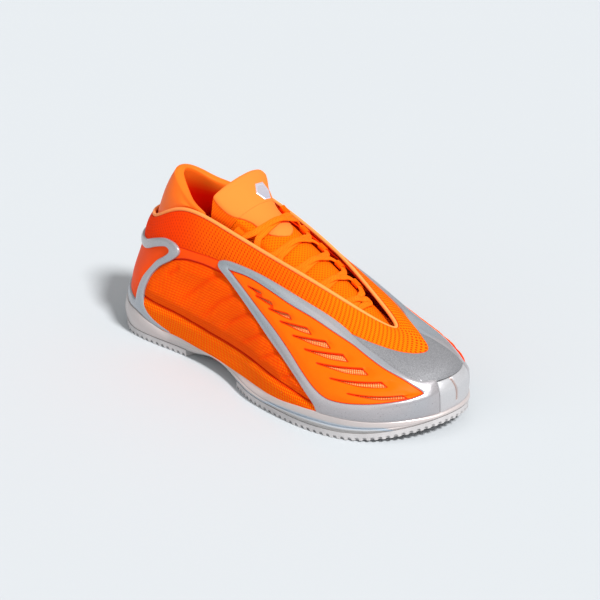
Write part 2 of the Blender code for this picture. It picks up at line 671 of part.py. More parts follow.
CLIP_SIDE = [(2.02, 0.09), (1.68, 0.22), (1.47, 0.42), (1.36, 0.66), (1.33, 0.94), (1.35, 1.24),
             (1.42, 1.70), (1.58, 2.14), (1.81, 2.46), (1.97, 2.70), (2.01, 2.88), (1.93, 3.03), (1.80, 3.10), (1.57, 3.13),
             (1.23, 3.00), (0.94, 2.80), (0.5, 2.70), (0, 2.68)]
CLIP_HOLE = [(1.12, 0.56), (1.15, 1.0), (1.24, 1.6), (1.46, 2.26), (1.68, 2.58), (1.78, 2.76),
             (1.72, 2.86), (1.60, 2.85), (1.35, 2.72), (1.0, 2.46), (0.5, 2.37), (0, 2.35)]


def build_heel_clip():
    half_foot = [(2.02, 0.09), (1.78, 0.09), (1.5, 0.21), (1.2, 0.35), (0.6, 0.36)]
    foot = [(-u, t) for u, t in half_foot] + [(0, 0.37)] + half_foot[::-1]
    side = [(-u, t) for u, t in CLIP_SIDE[::-1]]
    border = outline([CLIP_SIDE + side[1:], foot])
    hole_foot = [(-1.12, 0.56), (-0.5, 0.66), (0, 0.68), (0.5, 0.66), (1.12, 0.56)]
    hole_side = [(-u, t) for u, t in CLIP_HOLE[::-1]]
    hole = outline([CLIP_HOLE + hole_side[1:], hole_foot])
    shell("heel_clip", border, OVERLAY, "pearl", [hole])


def build_toe_guard():
    border = outline([[(5.765, 0.07), (6.14, 0.07), (6.50, 0.07)], [(6.50, 0.07), (6.50, 1.46)],
                      [(6.50, 1.46), (6.14, 1.51), (5.765, 1.55)], [(5.765, 1.55), (5.765, 0.07)]], 5.0)
    groove = np.array([(5.985, 0.42), (6.015, 0.42), (6.02, 0.95), (6.0, 1.36), (5.975, 1.36),
                       (5.985, 0.95)])
    shell("toe_guard", border, GUARD, "pearl_sole", [groove], 9.0)


def build_stiffeners():
    """The heel counter and toe puff, thin boards between the skins and the bootie."""
    counter = outline([[(-2.1, 0.3), (-1.2, 0.3), (0, 0.3), (1.2, 0.3), (2.1, 0.3)],
                       [(2.1, 0.3), (1.95, 1.2), (1.6, 2.2)],
                       [(1.6, 2.2), (0.8, 2.4), (0, 2.45), (-0.8, 2.4), (-1.6, 2.2)],
                       [(-1.6, 2.2), (-1.95, 1.2), (-2.1, 0.3)]], 8.0)
    shell("heel_counter", counter, COUNTER, "counter_white")
    puff = outline([[(5.0, 0.3), (5.5, 0.3), (6.1, 0.3), (6.6, 0.3), (7.05, 0.3)],
                    [(7.05, 0.3), (6.85, 1.1), (6.5, 1.8)],
                    [(6.5, 1.8), (6.1, 1.95), (5.7, 1.9), (5.4, 1.7)],
                    [(5.4, 1.7), (5.15, 1.1), (5.0, 0.3)]], 7.0)
    shell("toe_puff", puff, COUNTER, "counter_white", grid=9.0)


def build_bootie():
    """The inner sleeve, open at the throat and collar, standing on the strobel board."""
    u = np.sort(np.concatenate([COLUMNS, [5.15, 5.35, 5.55, 5.74, 5.91, 6.09, 6.26]]))
    columns = []
    levels = np.array([0.16, 0.45, 0.85, 1.25, 1.65, 2.05, 2.45, 2.95])
    for station in u:
        s = np.full(len(levels), station)
        columns.append(np.vstack([offset(s, levels, BOOTIE[0]), offset(s, levels, BOOTIE[1])[::-1]]))
    grid_tube("bootie", columns, "lining_red")


# ---------------------------------------------------------------- collar and tongue

# Top of the collar's rim from the back of the heel to its lateral end: x, half width, z.
COLLAR_RIM = [(-103, 0, 121), (-101, 6, 119.6), (-94.5, 11, 116.2), (-85, 15.8, 111.6), (-73, 20.8, 108),
              (-58, 22.5, 103.5)]
COLLAR_END = 2.4
COLLAR_HALF = 3.6


def collar_rim(u):
    rows = [(x, -y, z) for x, y, z in COLLAR_RIM[:0:-1]] + COLLAR_RIM
    x, y, z = through_table(rows, len(COLLAR_RIM) - 1 + u / COLLAR_END * (len(COLLAR_RIM) - 1))
    return np.array([x, -y, z])


def collar_section(u):
    """Padded wall of the collar: from inside the shroud, out over its edge, round the rim and down inside."""
    rim = collar_rim(u)
    level = normal([u], 3.6)[0]
    level[2] = 0
    level = level / np.linalg.norm(level)
    foot_out = offset([u], 3.25, -3.3)[0]
    under_edge = offset([u], 3.75, -3.3)[0]
    over_edge = offset([u], 4.05, -3.1)[0]
    foot_in = offset([u], 3.25, -9.5)[0]
    ends = abs(u) / COLLAR_END
    half = COLLAR_HALF * (1 - 0.45 * ends ** 3)
    up = np.array([0, 0, 1.0])
    outer = over_edge * 0.45 + rim * 0.55 + level * (half - 1.0)
    rim_out = rim + level * half - up * 2.6
    rim_out_top = rim + level * half * 0.6 - up * 0.6
    rim_in_top = rim - level * half * 0.6 - up * 0.6
    rim_in = rim - level * half - up * 2.8
    inner = foot_in * 0.45 + rim * 0.55 - level * (half - 0.2)
    return np.array([foot_out, under_edge, over_edge, outer, rim_out, rim_out_top, rim, rim_in_top,
                     rim_in, inner, foot_in])


def build_collar():
    stations = np.linspace(-COLLAR_END, COLLAR_END, 37)
    grid_tube("heel_collar", [collar_section(u) for u in stations], "smooth_orange", closed_round=False)


# Centre line of the tongue's face from the throat to its top: x, z, half width, drop at the sides, y.
TONGUE = [(84, 54.0, 6.5, 1, 1), (75, 58.8, 8.5, 1.5, 0), (64, 65.5, 10, 2.3, -1.5),
          (50, 73.5, 11.5, 3.5, -2.5), (30, 83, 14, 5, -2), (10, 91.5, 15.5, 6, -1),
          (-11, 100.5, 16.5, 6.5, 0),
          (-26, 108.5, 17.5, 7, 0), (-36, 115.2, 20.5, 7.2, 0), (-44, 121.8, 23, 6.8, 0.5),
          (-51, 127.2, 24, 6, 1.5)]
FOLD = 0.83
# How far the side wings of the tongue hang down from its edge, along its length.
WING_DOWN = [(0.06, 0.5), (0.3, 6.0), (0.6, 8.0), (0.75, 11.0), (0.83, 14.0), (1.0, 14.0)]
WING_OUT = 1.5
WING_THICK = 1.6
TONGUE_THICK = 3.2
PAD_THICK = 8.5


def tongue_row(s):
    """Centre, half width, drop and sideways shift at a fraction of the tongue's length."""
    steps = np.diff(np.array(TONGUE)[:, :2], axis=0)
    lengths = np.r_[0, np.cumsum(np.hypot(*steps.T))]
    return through_table(TONGUE, np.interp(s * lengths[-1], lengths, np.arange(len(TONGUE))))


def tongue_facing(s):
    """Direction square to the tongue's face on its centre line."""
    x0, z0 = tongue_row(max(s - 0.02, 0))[:2]
    x1, z1 = tongue_row(min(s + 0.02, 1))[:2]
    along = unit(np.array([x1 - x0, 0, z1 - z0]))
    return np.array([along[2], 0, -along[0]])


def tongue_point(s, v, depth=0.0):
    """A point on the tongue's face: v is -1 at the lateral edge and 1 at the medial edge."""
    x, z, half, drop, middle = tongue_row(s)
    face = tongue_facing(s)
    out = unit(face + np.array([0, 2 * drop * v / half, 0]))
    base = np.array([x, middle + half * v, z]) - face * drop * v * v
    return base - out * depth


def winged_point(s, v, depth=0.0):
    """As tongue_point, but past |v| = 1 it follows the side wing that turns down into the shoe."""
    over = abs(v) - 1
    if over <= 0:
        return tongue_point(s, v, depth)
    side = math.copysign(1, v)
    x, z, half, drop, middle = tongue_row(s)
    face = tongue_facing(s)
    turn = min(over / 0.3, 1)
    slope = 2 * drop / half * (1 - turn) + 4 * turn
    out = unit(face + np.array([0, side * slope, 0]))
    down = drop + over * float(np.interp(s, *np.array(WING_DOWN).T))
    base = np.array([x, middle + side * (half + WING_OUT * over), z]) - face * down
    return base - out * depth


def build_tongue_body():
    across = (-2, -1.5, -1.15, -1, -0.75, -0.5, -0.25, 0, 0.25, 0.5, 0.75, 1, 1.15, 1.5, 2)
    thick = np.interp(np.abs(across), (0.75, 1.15), (TONGUE_THICK, WING_THICK))
    columns = []
    for s in np.linspace(0, FOLD - 0.006, 15):
        face = [winged_point(s, v) for v in across]
        back = [winged_point(s, v, depth) for v, depth in zip(across[::-1], thick[::-1])]
        columns.append(np.array(face + back))
    grid_tube("tongue_body", columns, "mesh_orange", closed_round=False)


def pillow(name, rows, slot, depth_of, face_of, across=13):
    """A padded piece over the tongue: a rounded face and back that meet in a soft edge."""
    columns = []
    for s, width in rows:
        v = np.sin(np.linspace(-math.pi / 2, math.pi / 2, across)) * width
        face = [winged_point(s, a, -face_of(s, a / width)) for a in v]
        back = [winged_point(s, a, depth_of(s, a / width)) for a in v[::-1]]
        columns.append(np.array(face[:-1] + back[:-1]))
    return grid_tube(name, columns, slot, closed_round=False)


PAD_ROWS = [(FOLD + 0.006, 1.5), (0.86, 1.5), (0.89, 1.5), (0.92, 1.48), (0.945, 1.44), (0.965, 1.36),
            (0.98, 1.25), (0.991, 1.12), (1.0, 0.95)]
LOBE_ROWS = [(0.66, 0.14), (0.68, 0.34), (0.71, 0.48), (0.74, 0.56), (0.77, 0.61), (0.80, 0.65),
             (FOLD - 0.008, 0.70)]


def build_tongue_pads():
    def rounded(a):
        return math.sqrt(max(0.0, 1 - min(abs(a), 1) ** 2.6))

    def end(s):
        return math.sqrt(max(0.06, 1 - max(0.0, (s - 0.9) / 0.1) ** 2))

    pillow("tongue_pad", PAD_ROWS, "smooth_orange",
           lambda s, a: 0.3 + (PAD_THICK - 1.8) * rounded(a) * end(s),
           lambda s, a: 1.8 * rounded(a) * end(s) - 0.3, 15)

    def lobe(s):
        return math.sqrt(max(0.04, min(1.0, (s - 0.655) / 0.06)))

    pillow("tongue_pad_lower", LOBE_ROWS, "smooth_orange", lambda s, a: -0.5,
           lambda s, a: 0.6 + 1.6 * rounded(a) * lobe(s), 9)


# The badge: its centre on the tongue (s, v) and its reach along each.
BADGE = (0.895, 0.35, 0.05, 0.33)


def build_tongue_trim():
    """A plain six-sided badge on the pad's face and a blank size label on its back."""
    ring = []
    for k in range(6):
        angle = math.pi / 3 * k
        ring.append((BADGE[0] + BADGE[2] * math.sin(angle), BADGE[1] + BADGE[3] * math.cos(angle)))
    rows = []
    for depth in (-2.2, -3.2):
        rows.append([tongue_point(s, v, depth) for s, v in ring])
    points = np.vstack(rows)
    faces = [tuple(range(6))[::-1], tuple(range(6, 12))]
    faces += [(k, (k + 1) % 6, (k + 1) % 6 + 6, k + 6) for k in range(6)]
    solid("tongue_badge", points, faces, "pearl")
    label = [(0.89, -0.3), (0.89, 0.3), (0.95, 0.3), (0.95, -0.3)]
    rows = []
    for depth in (8.4, 9.0):
        rows.append([tongue_point(s, v, depth) for s, v in label])
    faces = [(3, 2, 1, 0), (4, 5, 6, 7)] + [(k, (k + 1) % 4, (k + 1) % 4 + 4, k + 4) for k in range(4)]
    solid("size_label", np.vstack(rows), faces, "board_white")


# ---------------------------------------------------------------- lacing

ROWS = (0.27, 0.395, 0.52, 0.645, 0.775)
BAR = 0.16
REACH = (0.80, 0.92, 1.00, 1.04, 1.00)
LOOP_HALF_WIDTH = 3.2
LACE_LIFT = 3.2
PAD_LIFT = 2.2


def lift_at(s):
    """Extra height of the lace where it runs over the lower pad."""
    return PAD_LIFT * float(np.clip((s - 0.62) / 0.06, 0, 1))


def build_eyestays():
    border = outline([[(2.75, 3.35), (3.5, 3.42), (4.3, 3.42), (5.1, 3.35)], [(5.1, 3.35), (5.1, 3.80)],
                      [(5.1, 3.80), (4.3, 3.86), (3.5, 3.86), (2.75, 3.80)], [(2.75, 3.80), (2.75, 3.35)]])
    shell("eyestay_lateral", border, INNER_LAYER, "smooth_orange")
    shell("eyestay_medial", np.array([(12 - u, t) for u, t in border])[::-1], INNER_LAYER, "smooth_orange")


def loop_place(row, side):
    """Where the lace turns inside the loop of a row, and the direction along the throat there."""
    s = ROWS[row]
    ends = [tongue_point(s + d, side * REACH[row], -LACE_LIFT) for d in (-0.02, 0.02)]
    return (ends[0] + ends[1]) / 2, unit(ends[1] - ends[0])


def anchor(turn, side):
    """The place inside the shroud, beside the eyestay, where a loop is sewn down."""
    u = np.linspace(2.6, 5.3, 120) if side < 0 else np.linspace(6.7, 9.4, 120)
    points = offset(u, 3.6, -6.6)
    return points[int(np.argmin(np.abs(points[:, 0] - turn[0])))]


def build_loops():
    """Webbing loops: a strip folded round the lace, its two ends together under the shroud."""
    for side, label in ((-1, "lateral"), (1, "medial")):
        for row in range(len(ROWS)):
            turn, along = loop_place(row, side)
            reach = anchor(turn, side) - turn
            reach -= along * float(reach @ along)
            tail = float(np.linalg.norm(reach))
            outward = reach / tail
            up = unit(np.cross(along, outward))
            tail -= 0.8
            path = [(tail, 0.3)]
            path += [(-1.9 * math.cos(a), 1.9 * math.sin(a)) for a in np.linspace(1.5, -1.5, 7)]
            path += [(tail, -0.3), (tail, -0.9)]
            path += [(-2.6 * math.cos(a), 2.6 * math.sin(a)) for a in np.linspace(-1.5, 1.5, 7)]
            path.append((tail, 0.9))
            sections = []
            for shift in (-LOOP_HALF_WIDTH, LOOP_HALF_WIDTH):
                sections.append(np.array([turn + outward * p + up * q + along * shift for p, q in path]))
            grid_tube(f"lace_loop_{label}_{row + 1}", sections, "lace_orange", closed_round=False)


def strand(start, end, reach, side, over):
    """A lace strand from one side of the tongue up to the other side, over or under the one it crosses."""
    points = []
    for f in (0.1, 0.2, 0.3, 0.4, 0.5, 0.6, 0.7, 0.8, 0.9):
        s = start + (end - start) * f
        v = side * (reach[0] * (1 - f) - reach[1] * f)
        bump = 3.5 * math.exp(-((f - 0.5) / 0.16) ** 2) if over else 0.0
        lift = 2.1 + (LACE_LIFT - 2.1) * abs(1 - 2 * f) ** 2 + lift_at(s) + bump
        points.append(tongue_point(s, v, -lift))
    return points


def build_lace():
    """One lace: a bar across the lowest row, then crossing up through the loops, its ends tucked in."""
    halves = []
    for first in (-1, 1):
        points = strand(BAR + 0.015, ROWS[0] - 0.045, (0.7, REACH[0]), -first, over=first < 0)
        side = first
        for row, s in enumerate(ROWS):
            turn, along = loop_place(row, side)
            points += [turn - along * 4.4, turn + along * 4.4]
            if row < len(ROWS) - 1:
                over = (first < 0) == (row % 2 == 1)
                points += strand(s + 0.045, ROWS[row + 1] - 0.045, REACH[row:row + 2], side, over)
                side = -side
        halves.append(points)
    bar = [tongue_point(BAR, 0.65 * side, -2.1) for side in np.linspace(-1, 1, 7)]
    path = halves[1][::-1] + bar + halves[0]
    curve("lace", path, LACE_RADIUS, "lace_orange", resolution=2)


# ---------------------------------------------------------------- the whole shoe

def start_clean():
    for obj in list(bpy.data.objects):
        bpy.data.objects.remove(obj, do_unlink=True)
    for name in ("basketball_shoe", "cutters"):
        made = bpy.data.collections.new(name)
        bpy.context.scene.collection.children.link(made)
    bpy.data.collections["cutters"].hide_render = True


start_clean()
build_outsole()
build_shank()
build_midsole()
build_inner_boards()
build_bootie()
build_stiffeners()
build_lateral_and_medial_skins()
build_shroud()
build_piping()
build_wing("lateral")
build_wing("medial")
build_heel_clip()
build_toe_guard()
build_collar()
build_eyestays()
build_tongue_body()
build_tongue_pads()
build_tongue_trim()
build_loops()
build_lace()
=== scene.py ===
"""Looks of the mid-cut basketball shoe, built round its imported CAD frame.

The visible pieces follow the same last-shaped surface as the CAD: (u, t) are stations round the shoe and
rings up it, and a piece sits at an offset in millimetres along the normal. Construction is in millimetres
with the heel on the X axis; SHIFT and MM bring it into the row frame.
"""

import math

import bmesh
import bpy
import numpy as np
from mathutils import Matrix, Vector
from mathutils.geometry import delaunay_2d_cdt


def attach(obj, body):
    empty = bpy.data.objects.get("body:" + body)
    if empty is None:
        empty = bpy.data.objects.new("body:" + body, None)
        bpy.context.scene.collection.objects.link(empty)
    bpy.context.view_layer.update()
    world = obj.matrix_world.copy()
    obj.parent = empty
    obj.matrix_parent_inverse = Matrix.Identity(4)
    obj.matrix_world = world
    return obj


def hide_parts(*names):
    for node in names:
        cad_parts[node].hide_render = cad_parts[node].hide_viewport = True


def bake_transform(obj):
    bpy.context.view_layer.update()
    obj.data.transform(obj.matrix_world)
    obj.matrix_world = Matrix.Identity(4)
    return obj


MM = 0.001
SHIFT = np.array([3.5, 6.0, 0.0])

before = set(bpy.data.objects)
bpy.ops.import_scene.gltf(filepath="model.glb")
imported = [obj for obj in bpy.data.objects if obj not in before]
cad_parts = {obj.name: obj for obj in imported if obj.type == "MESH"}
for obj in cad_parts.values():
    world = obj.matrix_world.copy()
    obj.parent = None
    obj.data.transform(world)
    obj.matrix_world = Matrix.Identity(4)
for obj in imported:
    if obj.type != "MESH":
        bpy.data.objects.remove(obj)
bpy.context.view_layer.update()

# ---------------------------------------------------------------- the last's surface

RINGS = np.array([
    [(-144, 0, 14), (-123, -32, 12), (-75, -35, 12), (-15, -42.5, 11), (46, -59, 11), (108, -46, 13),
     (137, 3, 17), (112, 38, 15), (58, 46, 12), (-10, 31, 12), (-75, 30, 12), (-124, 29, 12)],
    [(-142, 0, 38), (-118, -32, 38), (-74, -39, 36), (-15, -43, 34), (46, -58, 30), (110, -48, 28),
     (137, 2, 31), (112, 38, 30), (58, 45, 32), (-10, 34, 36), (-74, 33, 38), (-121, 29, 38)],
    [(-136, 0, 57), (-114, -28, 56), (-74, -36, 56), (-18, -40, 54), (40, -48, 49), (100, -38, 43),
     (131, 1, 44), (105, 31, 45), (50, 38, 50), (-14, 34, 56), (-73, 32, 58), (-116, 26, 57)],
    [(-131, 0, 73), (-111, -25, 74), (-74, -33, 79), (-26, -34, 76), (26, -35, 69), (78, -25, 58),
     (107, 2, 53), (84, 22, 57), (36, 30, 68), (-20, 30, 77), (-72, 30, 80), (-112, 24, 74)],
    [(-126, 0, 84), (-109, -21, 88), (-76, -28, 104), (-35, -27, 100), (11, -25, 90), (54, -18, 77),
     (88, 2, 58), (58, 13, 72), (18, 23, 85), (-29, 27, 99), (-74, 28, 104), (-109, 21, 88)],
], float)
# Millimetres per station and per ring, near enough for measuring outlines.
SCALE = np.array([40.0, 20.0])
TINY = 0.02


def periodic(values, u):
    """Closed cubic B-spline through the rows of values at whole numbers of u."""
    count = len(values)
    matrix = np.zeros((count, count))
    for i in range(count):
        matrix[i, i] = 4
        matrix[i, (i + 1) % count] = 1
        matrix[i, (i - 1) % count] = 1
    poles = np.linalg.solve(matrix, 6 * values)
    u = np.asarray(u, float) % count
    i = np.floor(u).astype(int) % count
    f = u - np.floor(u)
    weights = [(1 - f) ** 3, 3 * f ** 3 - 6 * f ** 2 + 4, -3 * f ** 3 + 3 * f ** 2 + 3 * f + 1, f ** 3]
    return sum(w[:, None] / 6 * poles[(i + k - 1) % count] for k, w in enumerate(weights))


def through(rows, t):
    """A natural cubic through the rows at whole numbers of t. Row k holds a value for each entry of t."""
    last = len(rows) - 1
    matrix = np.eye(last + 1)
    bends = np.zeros_like(rows)
    for i in range(1, last):
        matrix[i, i - 1:i + 2] = (1, 4, 1)
        bends[i] = 6 * (rows[i + 1] - 2 * rows[i] + rows[i - 1])
    bends = np.tensordot(np.linalg.inv(matrix), bends, axes=1)
    i = np.clip(np.floor(t).astype(int), 0, last - 1)
    f = (t - i)[:, None]
    g = 1 - f
    k = np.arange(len(t))
    low, high = rows[i, k], rows[i + 1, k]
    return low * g + high * f + ((g ** 3 - g) * bends[i, k] + (f ** 3 - f) * bends[i + 1, k]) / 6


def surface(u, t):
    """Points of the last at stations u and ring heights t."""
    u = np.atleast_1d(np.asarray(u, float))
    t = np.broadcast_to(np.asarray(t, float), u.shape)
    return through(np.stack([periodic(ring, u) for ring in RINGS]), t)


def through_table(table, place):
    """One row of a smooth curve through the table's rows, at a place counted in rows."""
    rows = np.array(table, float)[:, None, :]
    return through(rows, np.array([float(place)]))[0]


def level(table, place):
    """Straight-line values through a table of (place, value)."""
    return np.interp(place, *np.array(table).T)


def through_line(table, places, samples=400, window=31):
    """The same with its corners smoothed away."""
    fine = np.linspace(table[0][0], table[-1][0], samples)
    weights = np.hanning(window) / np.hanning(window).sum()
    soft = np.convolve(np.pad(level(table, fine), window // 2, mode="edge"), weights, mode="valid")
    return np.interp(places, fine, soft)


def unit(vectors):
    return vectors / np.linalg.norm(vectors, axis=-1, keepdims=True)


def normal(u, t):
    """The outward normal of the last."""
    u = np.atleast_1d(np.asarray(u, float))
    t = np.broadcast_to(np.asarray(t, float), u.shape)
    along = surface(u + TINY, t) - surface(u - TINY, t)
    upward = surface(u, t + TINY) - surface(u, t - TINY)
    return unit(np.cross(along, upward))


def offset(u, t, distance):
    """Points at a distance in millimetres off the last."""
    distance = np.asarray(distance, float)
    return surface(u, t) + normal(u, t) * (distance[:, None] if distance.ndim else distance)


def edge_up(u):
    """The direction in which the upper ends at its top ring."""
    u = np.atleast_1d(np.asarray(u, float))
    along = surface(u + TINY, 4.0) - surface(u - TINY, 4.0)
    return unit(np.cross(normal(u, 4.0), along))


def lengths_along(points):
    """Distance from the first point to each point of a line."""
    return np.r_[0, np.cumsum(np.linalg.norm(np.diff(points, axis=0), axis=1))]


CHART_U = np.linspace(-3, 15, 541)
CHART_T = np.linspace(-0.3, 4, 44)
CHART_STEP = 0.1


def chart_tables():
    """Arc lengths in millimetres along each ring height and up each station."""
    grid = np.stack([surface(CHART_U, t) for t in CHART_T], 1)
    along = np.linalg.norm(np.diff(grid, axis=0), axis=2)
    upward = np.linalg.norm(np.diff(grid, axis=1), axis=2)
    along = np.vstack([np.zeros((1, len(CHART_T))), np.cumsum(along, axis=0)])
    upward = np.hstack([np.zeros((len(CHART_U), 1)), np.cumsum(upward, axis=1)])
    return along, upward


ALONG, UPWARD = chart_tables()


def chart(u, t, ring):
    """Weave coordinates in millimetres: along the shoe at one ring's height, and up from the sole edge."""
    column = int(round((ring - CHART_T[0]) / CHART_STEP))
    a = np.interp(u, CHART_U, ALONG[:, column])
    x = np.clip((u - CHART_U[0]) / (CHART_U[1] - CHART_U[0]), 0, len(CHART_U) - 1.001)
    y = np.clip((t - CHART_T[0]) / CHART_STEP, 0, len(CHART_T) - 1.001)
    i, j = x.astype(int), y.astype(int)
    f, g = x - i, y - j
    b = ((UPWARD[i, j] * (1 - f) + UPWARD[i + 1, j] * f) * (1 - g)
         + (UPWARD[i, j + 1] * (1 - f) + UPWARD[i + 1, j + 1] * f) * g)
    return a, b


def smoothstep(low, high, value):
    f = np.clip((value - low) / (high - low), 0, 1)
    return f * f * (3 - 2 * f)


# ---------------------------------------------------------------- meshes

def mesh_object(name, points, faces, look, data=None, sharp=40):
    """A mesh piece from points in construction millimetres, with its weave coordinates as an attribute."""
    mesh = bpy.data.meshes.new(name)
    places = (np.asarray(points, float) + SHIFT) * MM
    mesh.from_pydata(places.tolist(), [], [list(map(int, face)) for face in faces])
    if data is not None:
        attribute = mesh.attributes.new("chart", "FLOAT_VECTOR", "POINT")
        attribute.data.foreach_set("vector", np.asarray(data, np.float32).ravel())
    built = bmesh.new()
    built.from_mesh(mesh)
    bmesh.ops.recalc_face_normals(built, faces=built.faces)
    built.to_mesh(mesh)
    built.free()
    mesh.shade_smooth()
    mesh.set_sharp_from_angle(angle=math.radians(sharp))
    mesh.materials.append(look)
    obj = bpy.data.objects.new(name, mesh)
    bpy.context.scene.collection.objects.link(obj)
    return obj


def set_tone(obj, values):
    """A 0 to 1 value at each point, which some materials read."""
    attribute = obj.data.attributes.new("tone", "FLOAT", "POINT")
    attribute.data.foreach_set("value", np.asarray(values, np.float32))


def finish_piece(obj, nodes, body="shoe"):
    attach(obj, body)
    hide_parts(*nodes)
    return obj


def stack_faces(count, size):
    """Quads between closed rings of points that follow each other."""
    faces = []
    for first in range(0, (count - 1) * size, size):
        for i in range(size):
            j = (i + 1) % size
            faces.append((first + i, first + j, first + size + j, first + size + i))
    return faces


def loft(name, rows, look, data=None, ring=True, sharp=40):
    """A grid of like closed sections: joined in a ring, or capped at both ends."""
    rows = np.asarray(rows, float)
    count, size = rows.shape[:2]
    faces = []
    for i in range(count if ring else count - 1):
        for j in range(size):
            a, b, k = i * size, (i + 1) % count * size, (j + 1) % size
            faces.append((a + j, b + j, b + k, a + k))
    if not ring:
        faces.append(tuple(range(size)))
        faces.append(tuple(range((count - 1) * size, count * size)))
    if data is not None:
        data = np.asarray(data, float).reshape(-1, 3)
    return mesh_object(name, rows.reshape(-1, 3), faces, look, data, sharp)


def tube(name, centre, up, radii, look, count, closed, arc=None, squareness=2.0):
    """An oval cord along a line: radii across and along the up direction."""
    if closed:
        tangent = unit(np.roll(centre, -1, 0) - np.roll(centre, 1, 0))
    else:
        tangent = unit(np.gradient(centre, axis=0))
    up = unit(up - tangent * np.sum(up * tangent, axis=1, keepdims=True))
    across = np.cross(tangent, up)
    if arc is None:
        arc = lengths_along(centre)
    angles = np.linspace(0, 2 * math.pi, count, endpoint=False)
    c, s = [np.sign(wave) * np.abs(wave) ** (2 / squareness) for wave in (np.cos(angles), np.sin(angles))]
    girth = angles / (2 * math.pi) * (radii[0] + radii[1]) * 3
    sections, data = [], []
    for p, a, b, length in zip(centre, across, up, arc):
        sections.append(p + np.outer(c, a) * radii[0] + np.outer(s, b) * radii[1])
        data.append(np.stack([np.full(count, length), girth, np.zeros(count)], 1))
    return loft(name, sections, look, data, ring=closed, sharp=70)


def smooth_run(points, step, scale=SCALE):
    """A Catmull-Rom curve through the points, sampled about a step apart as the scale measures it."""
    p = np.array(points, float)
    if len(p) > 2:
        ends = np.vstack([2 * p[0] - p[1], p, 2 * p[-1] - p[-2]])
        dense = [p[0]]
        for a, b, c, d in zip(ends, ends[1:], ends[2:], ends[3:]):
            for f in np.linspace(0, 1, 17)[1:]:
                dense.append(0.5 * (2 * b + (c - a) * f + (2 * a - 5 * b + 4 * c - d) * f ** 2
                                    + (3 * b - a - 3 * c + d) * f ** 3))
        p = np.array(dense)
    lengths = lengths_along(p * scale)
    count = max(1, round(lengths[-1] / step))
    wanted = np.linspace(0, lengths[-1], count + 1)
    return np.stack([np.interp(wanted, lengths, p[:, k]) for k in range(p.shape[1])], 1)


STEP = 1.3


def outline(runs, step=STEP):
    """A closed outline from runs of points that end where the next one starts."""
    return np.vstack([smooth_run(run, step)[:-1] for run in runs])


def mirror_u(u):
    """The medial station that matches a lateral one. The toe guard takes up the room between."""
    return 12 - u if u <= 5 else 7 - (u - 5) * 0.47 / 0.75


def mirrored(points):
    return np.array([(mirror_u(u), t) for u, t in points])[::-1]


def area(p):
    nxt = np.roll(p, -1, 0)
    return 0.5 * float(np.sum(p[:, 0] * nxt[:, 1] - nxt[:, 0] * p[:, 1]))


def inset(points, distance):
    """The outline moved inwards by millimetres."""
    p = np.asarray(points) * SCALE
    along = unit(np.roll(p, -1, 0) - np.roll(p, 1, 0))
    inward = np.stack([-along[:, 1], along[:, 0]], 1)
    if area(p) < 0:
        inward = -inward
    return (p + inward * distance) / SCALE


def inside(points, polygon):
    x, y = points[:, 0], points[:, 1]
    hit = np.zeros(len(points), bool)
    for (x0, y0), (x1, y1) in zip(polygon, np.roll(polygon, -1, 0)):
        crosses = (y0 > y) != (y1 > y)
        with np.errstate(divide="ignore", invalid="ignore"):
            hit ^= crosses & (x < (x1 - x0) * (y - y0) / (y1 - y0) + x0)
    return hit


def dense_loop(loop, step=0.45):
    """Points no further than a step apart round the loop."""
    parts = []
    for a, b in zip(loop, np.roll(loop, -1, 0)):
        count = max(1, int(np.linalg.norm(b - a) / step))
        parts.append(a + (b - a) * np.arange(count)[:, None] / count)
    return np.vstack(parts)


def nearest(points, marks, block=1500):
    """Distance from each point to its nearest mark, and that mark's number."""
    gaps, numbers = np.zeros(len(points)), np.zeros(len(points), int)
    for start in range(0, len(points), block):
        part = slice(start, start + block)
        square = ((points[part, None] - marks[None]) ** 2).sum(2)
        gaps[part], numbers[part] = np.sqrt(square.min(1)), square.argmin(1)
    return gaps, numbers


def distance_to(points, marks):
    return nearest(points, marks)[0]


def triangulate(loops, inner):
    """Triangles of the first loop less the others, with inner points. Loop points come first."""
    points = np.vstack([*loops, inner])
    edges = []
    first = 0
    for loop in loops:
        edges += [(first + i, first + (i + 1) % len(loop)) for i in range(len(loop))]
        first += len(loop)
    flat, _, found, origins, *_ = delaunay_2d_cdt(points.tolist(), edges, [], 0, 1e-6)
    flat = np.array([(p[0], p[1]) for p in flat])
    index = np.zeros(len(points), int)
    for k, ids in enumerate(origins):
        for i in ids:
            index[i] = k
    faces = np.array(found)
    centres = flat[faces].mean(1)
    keep = inside(centres, loops[0])
    for loop in loops[1:]:
        keep &= ~inside(centres, loop)
    return flat, faces[keep], index[:first]


def hex_grid(low, high, grid):
    """Points on a triangular grid inside a box."""
    rows = []
    for k, y in enumerate(np.arange(low[1] + grid / 2, high[1], grid * 0.87)):
        x = np.arange(low[0] + grid / 2 + (k % 2) * grid / 2, high[0], grid)
        rows.append(np.stack([x, np.full(len(x), y)], 1))
    return np.vstack(rows)


def fine_points(loops, marks, grid, rim):
    """Points inside the loops: rows that follow the rounded rim, then an even grid."""
    found = []
    for k, loop in enumerate(loops):
        for share in (0.12, 0.4, 1.0):
            d = rim * share
            row = inset(loop / SCALE, d if k == 0 else -d) * SCALE
            found.append(row[distance_to(row, marks) > 0.88 * d])
    even = hex_grid(loops[0].min(0), loops[0].max(0), grid)
    found.append(even[distance_to(even, marks) > rim + grid * 0.5])
    points = np.vstack(found)
    keep = inside(points, loops[0])
    for loop in loops[1:]:
        keep &= ~inside(points, loop)
    return points[keep]


BACK_GRID = 7.0
BACK_RIM = 3.0


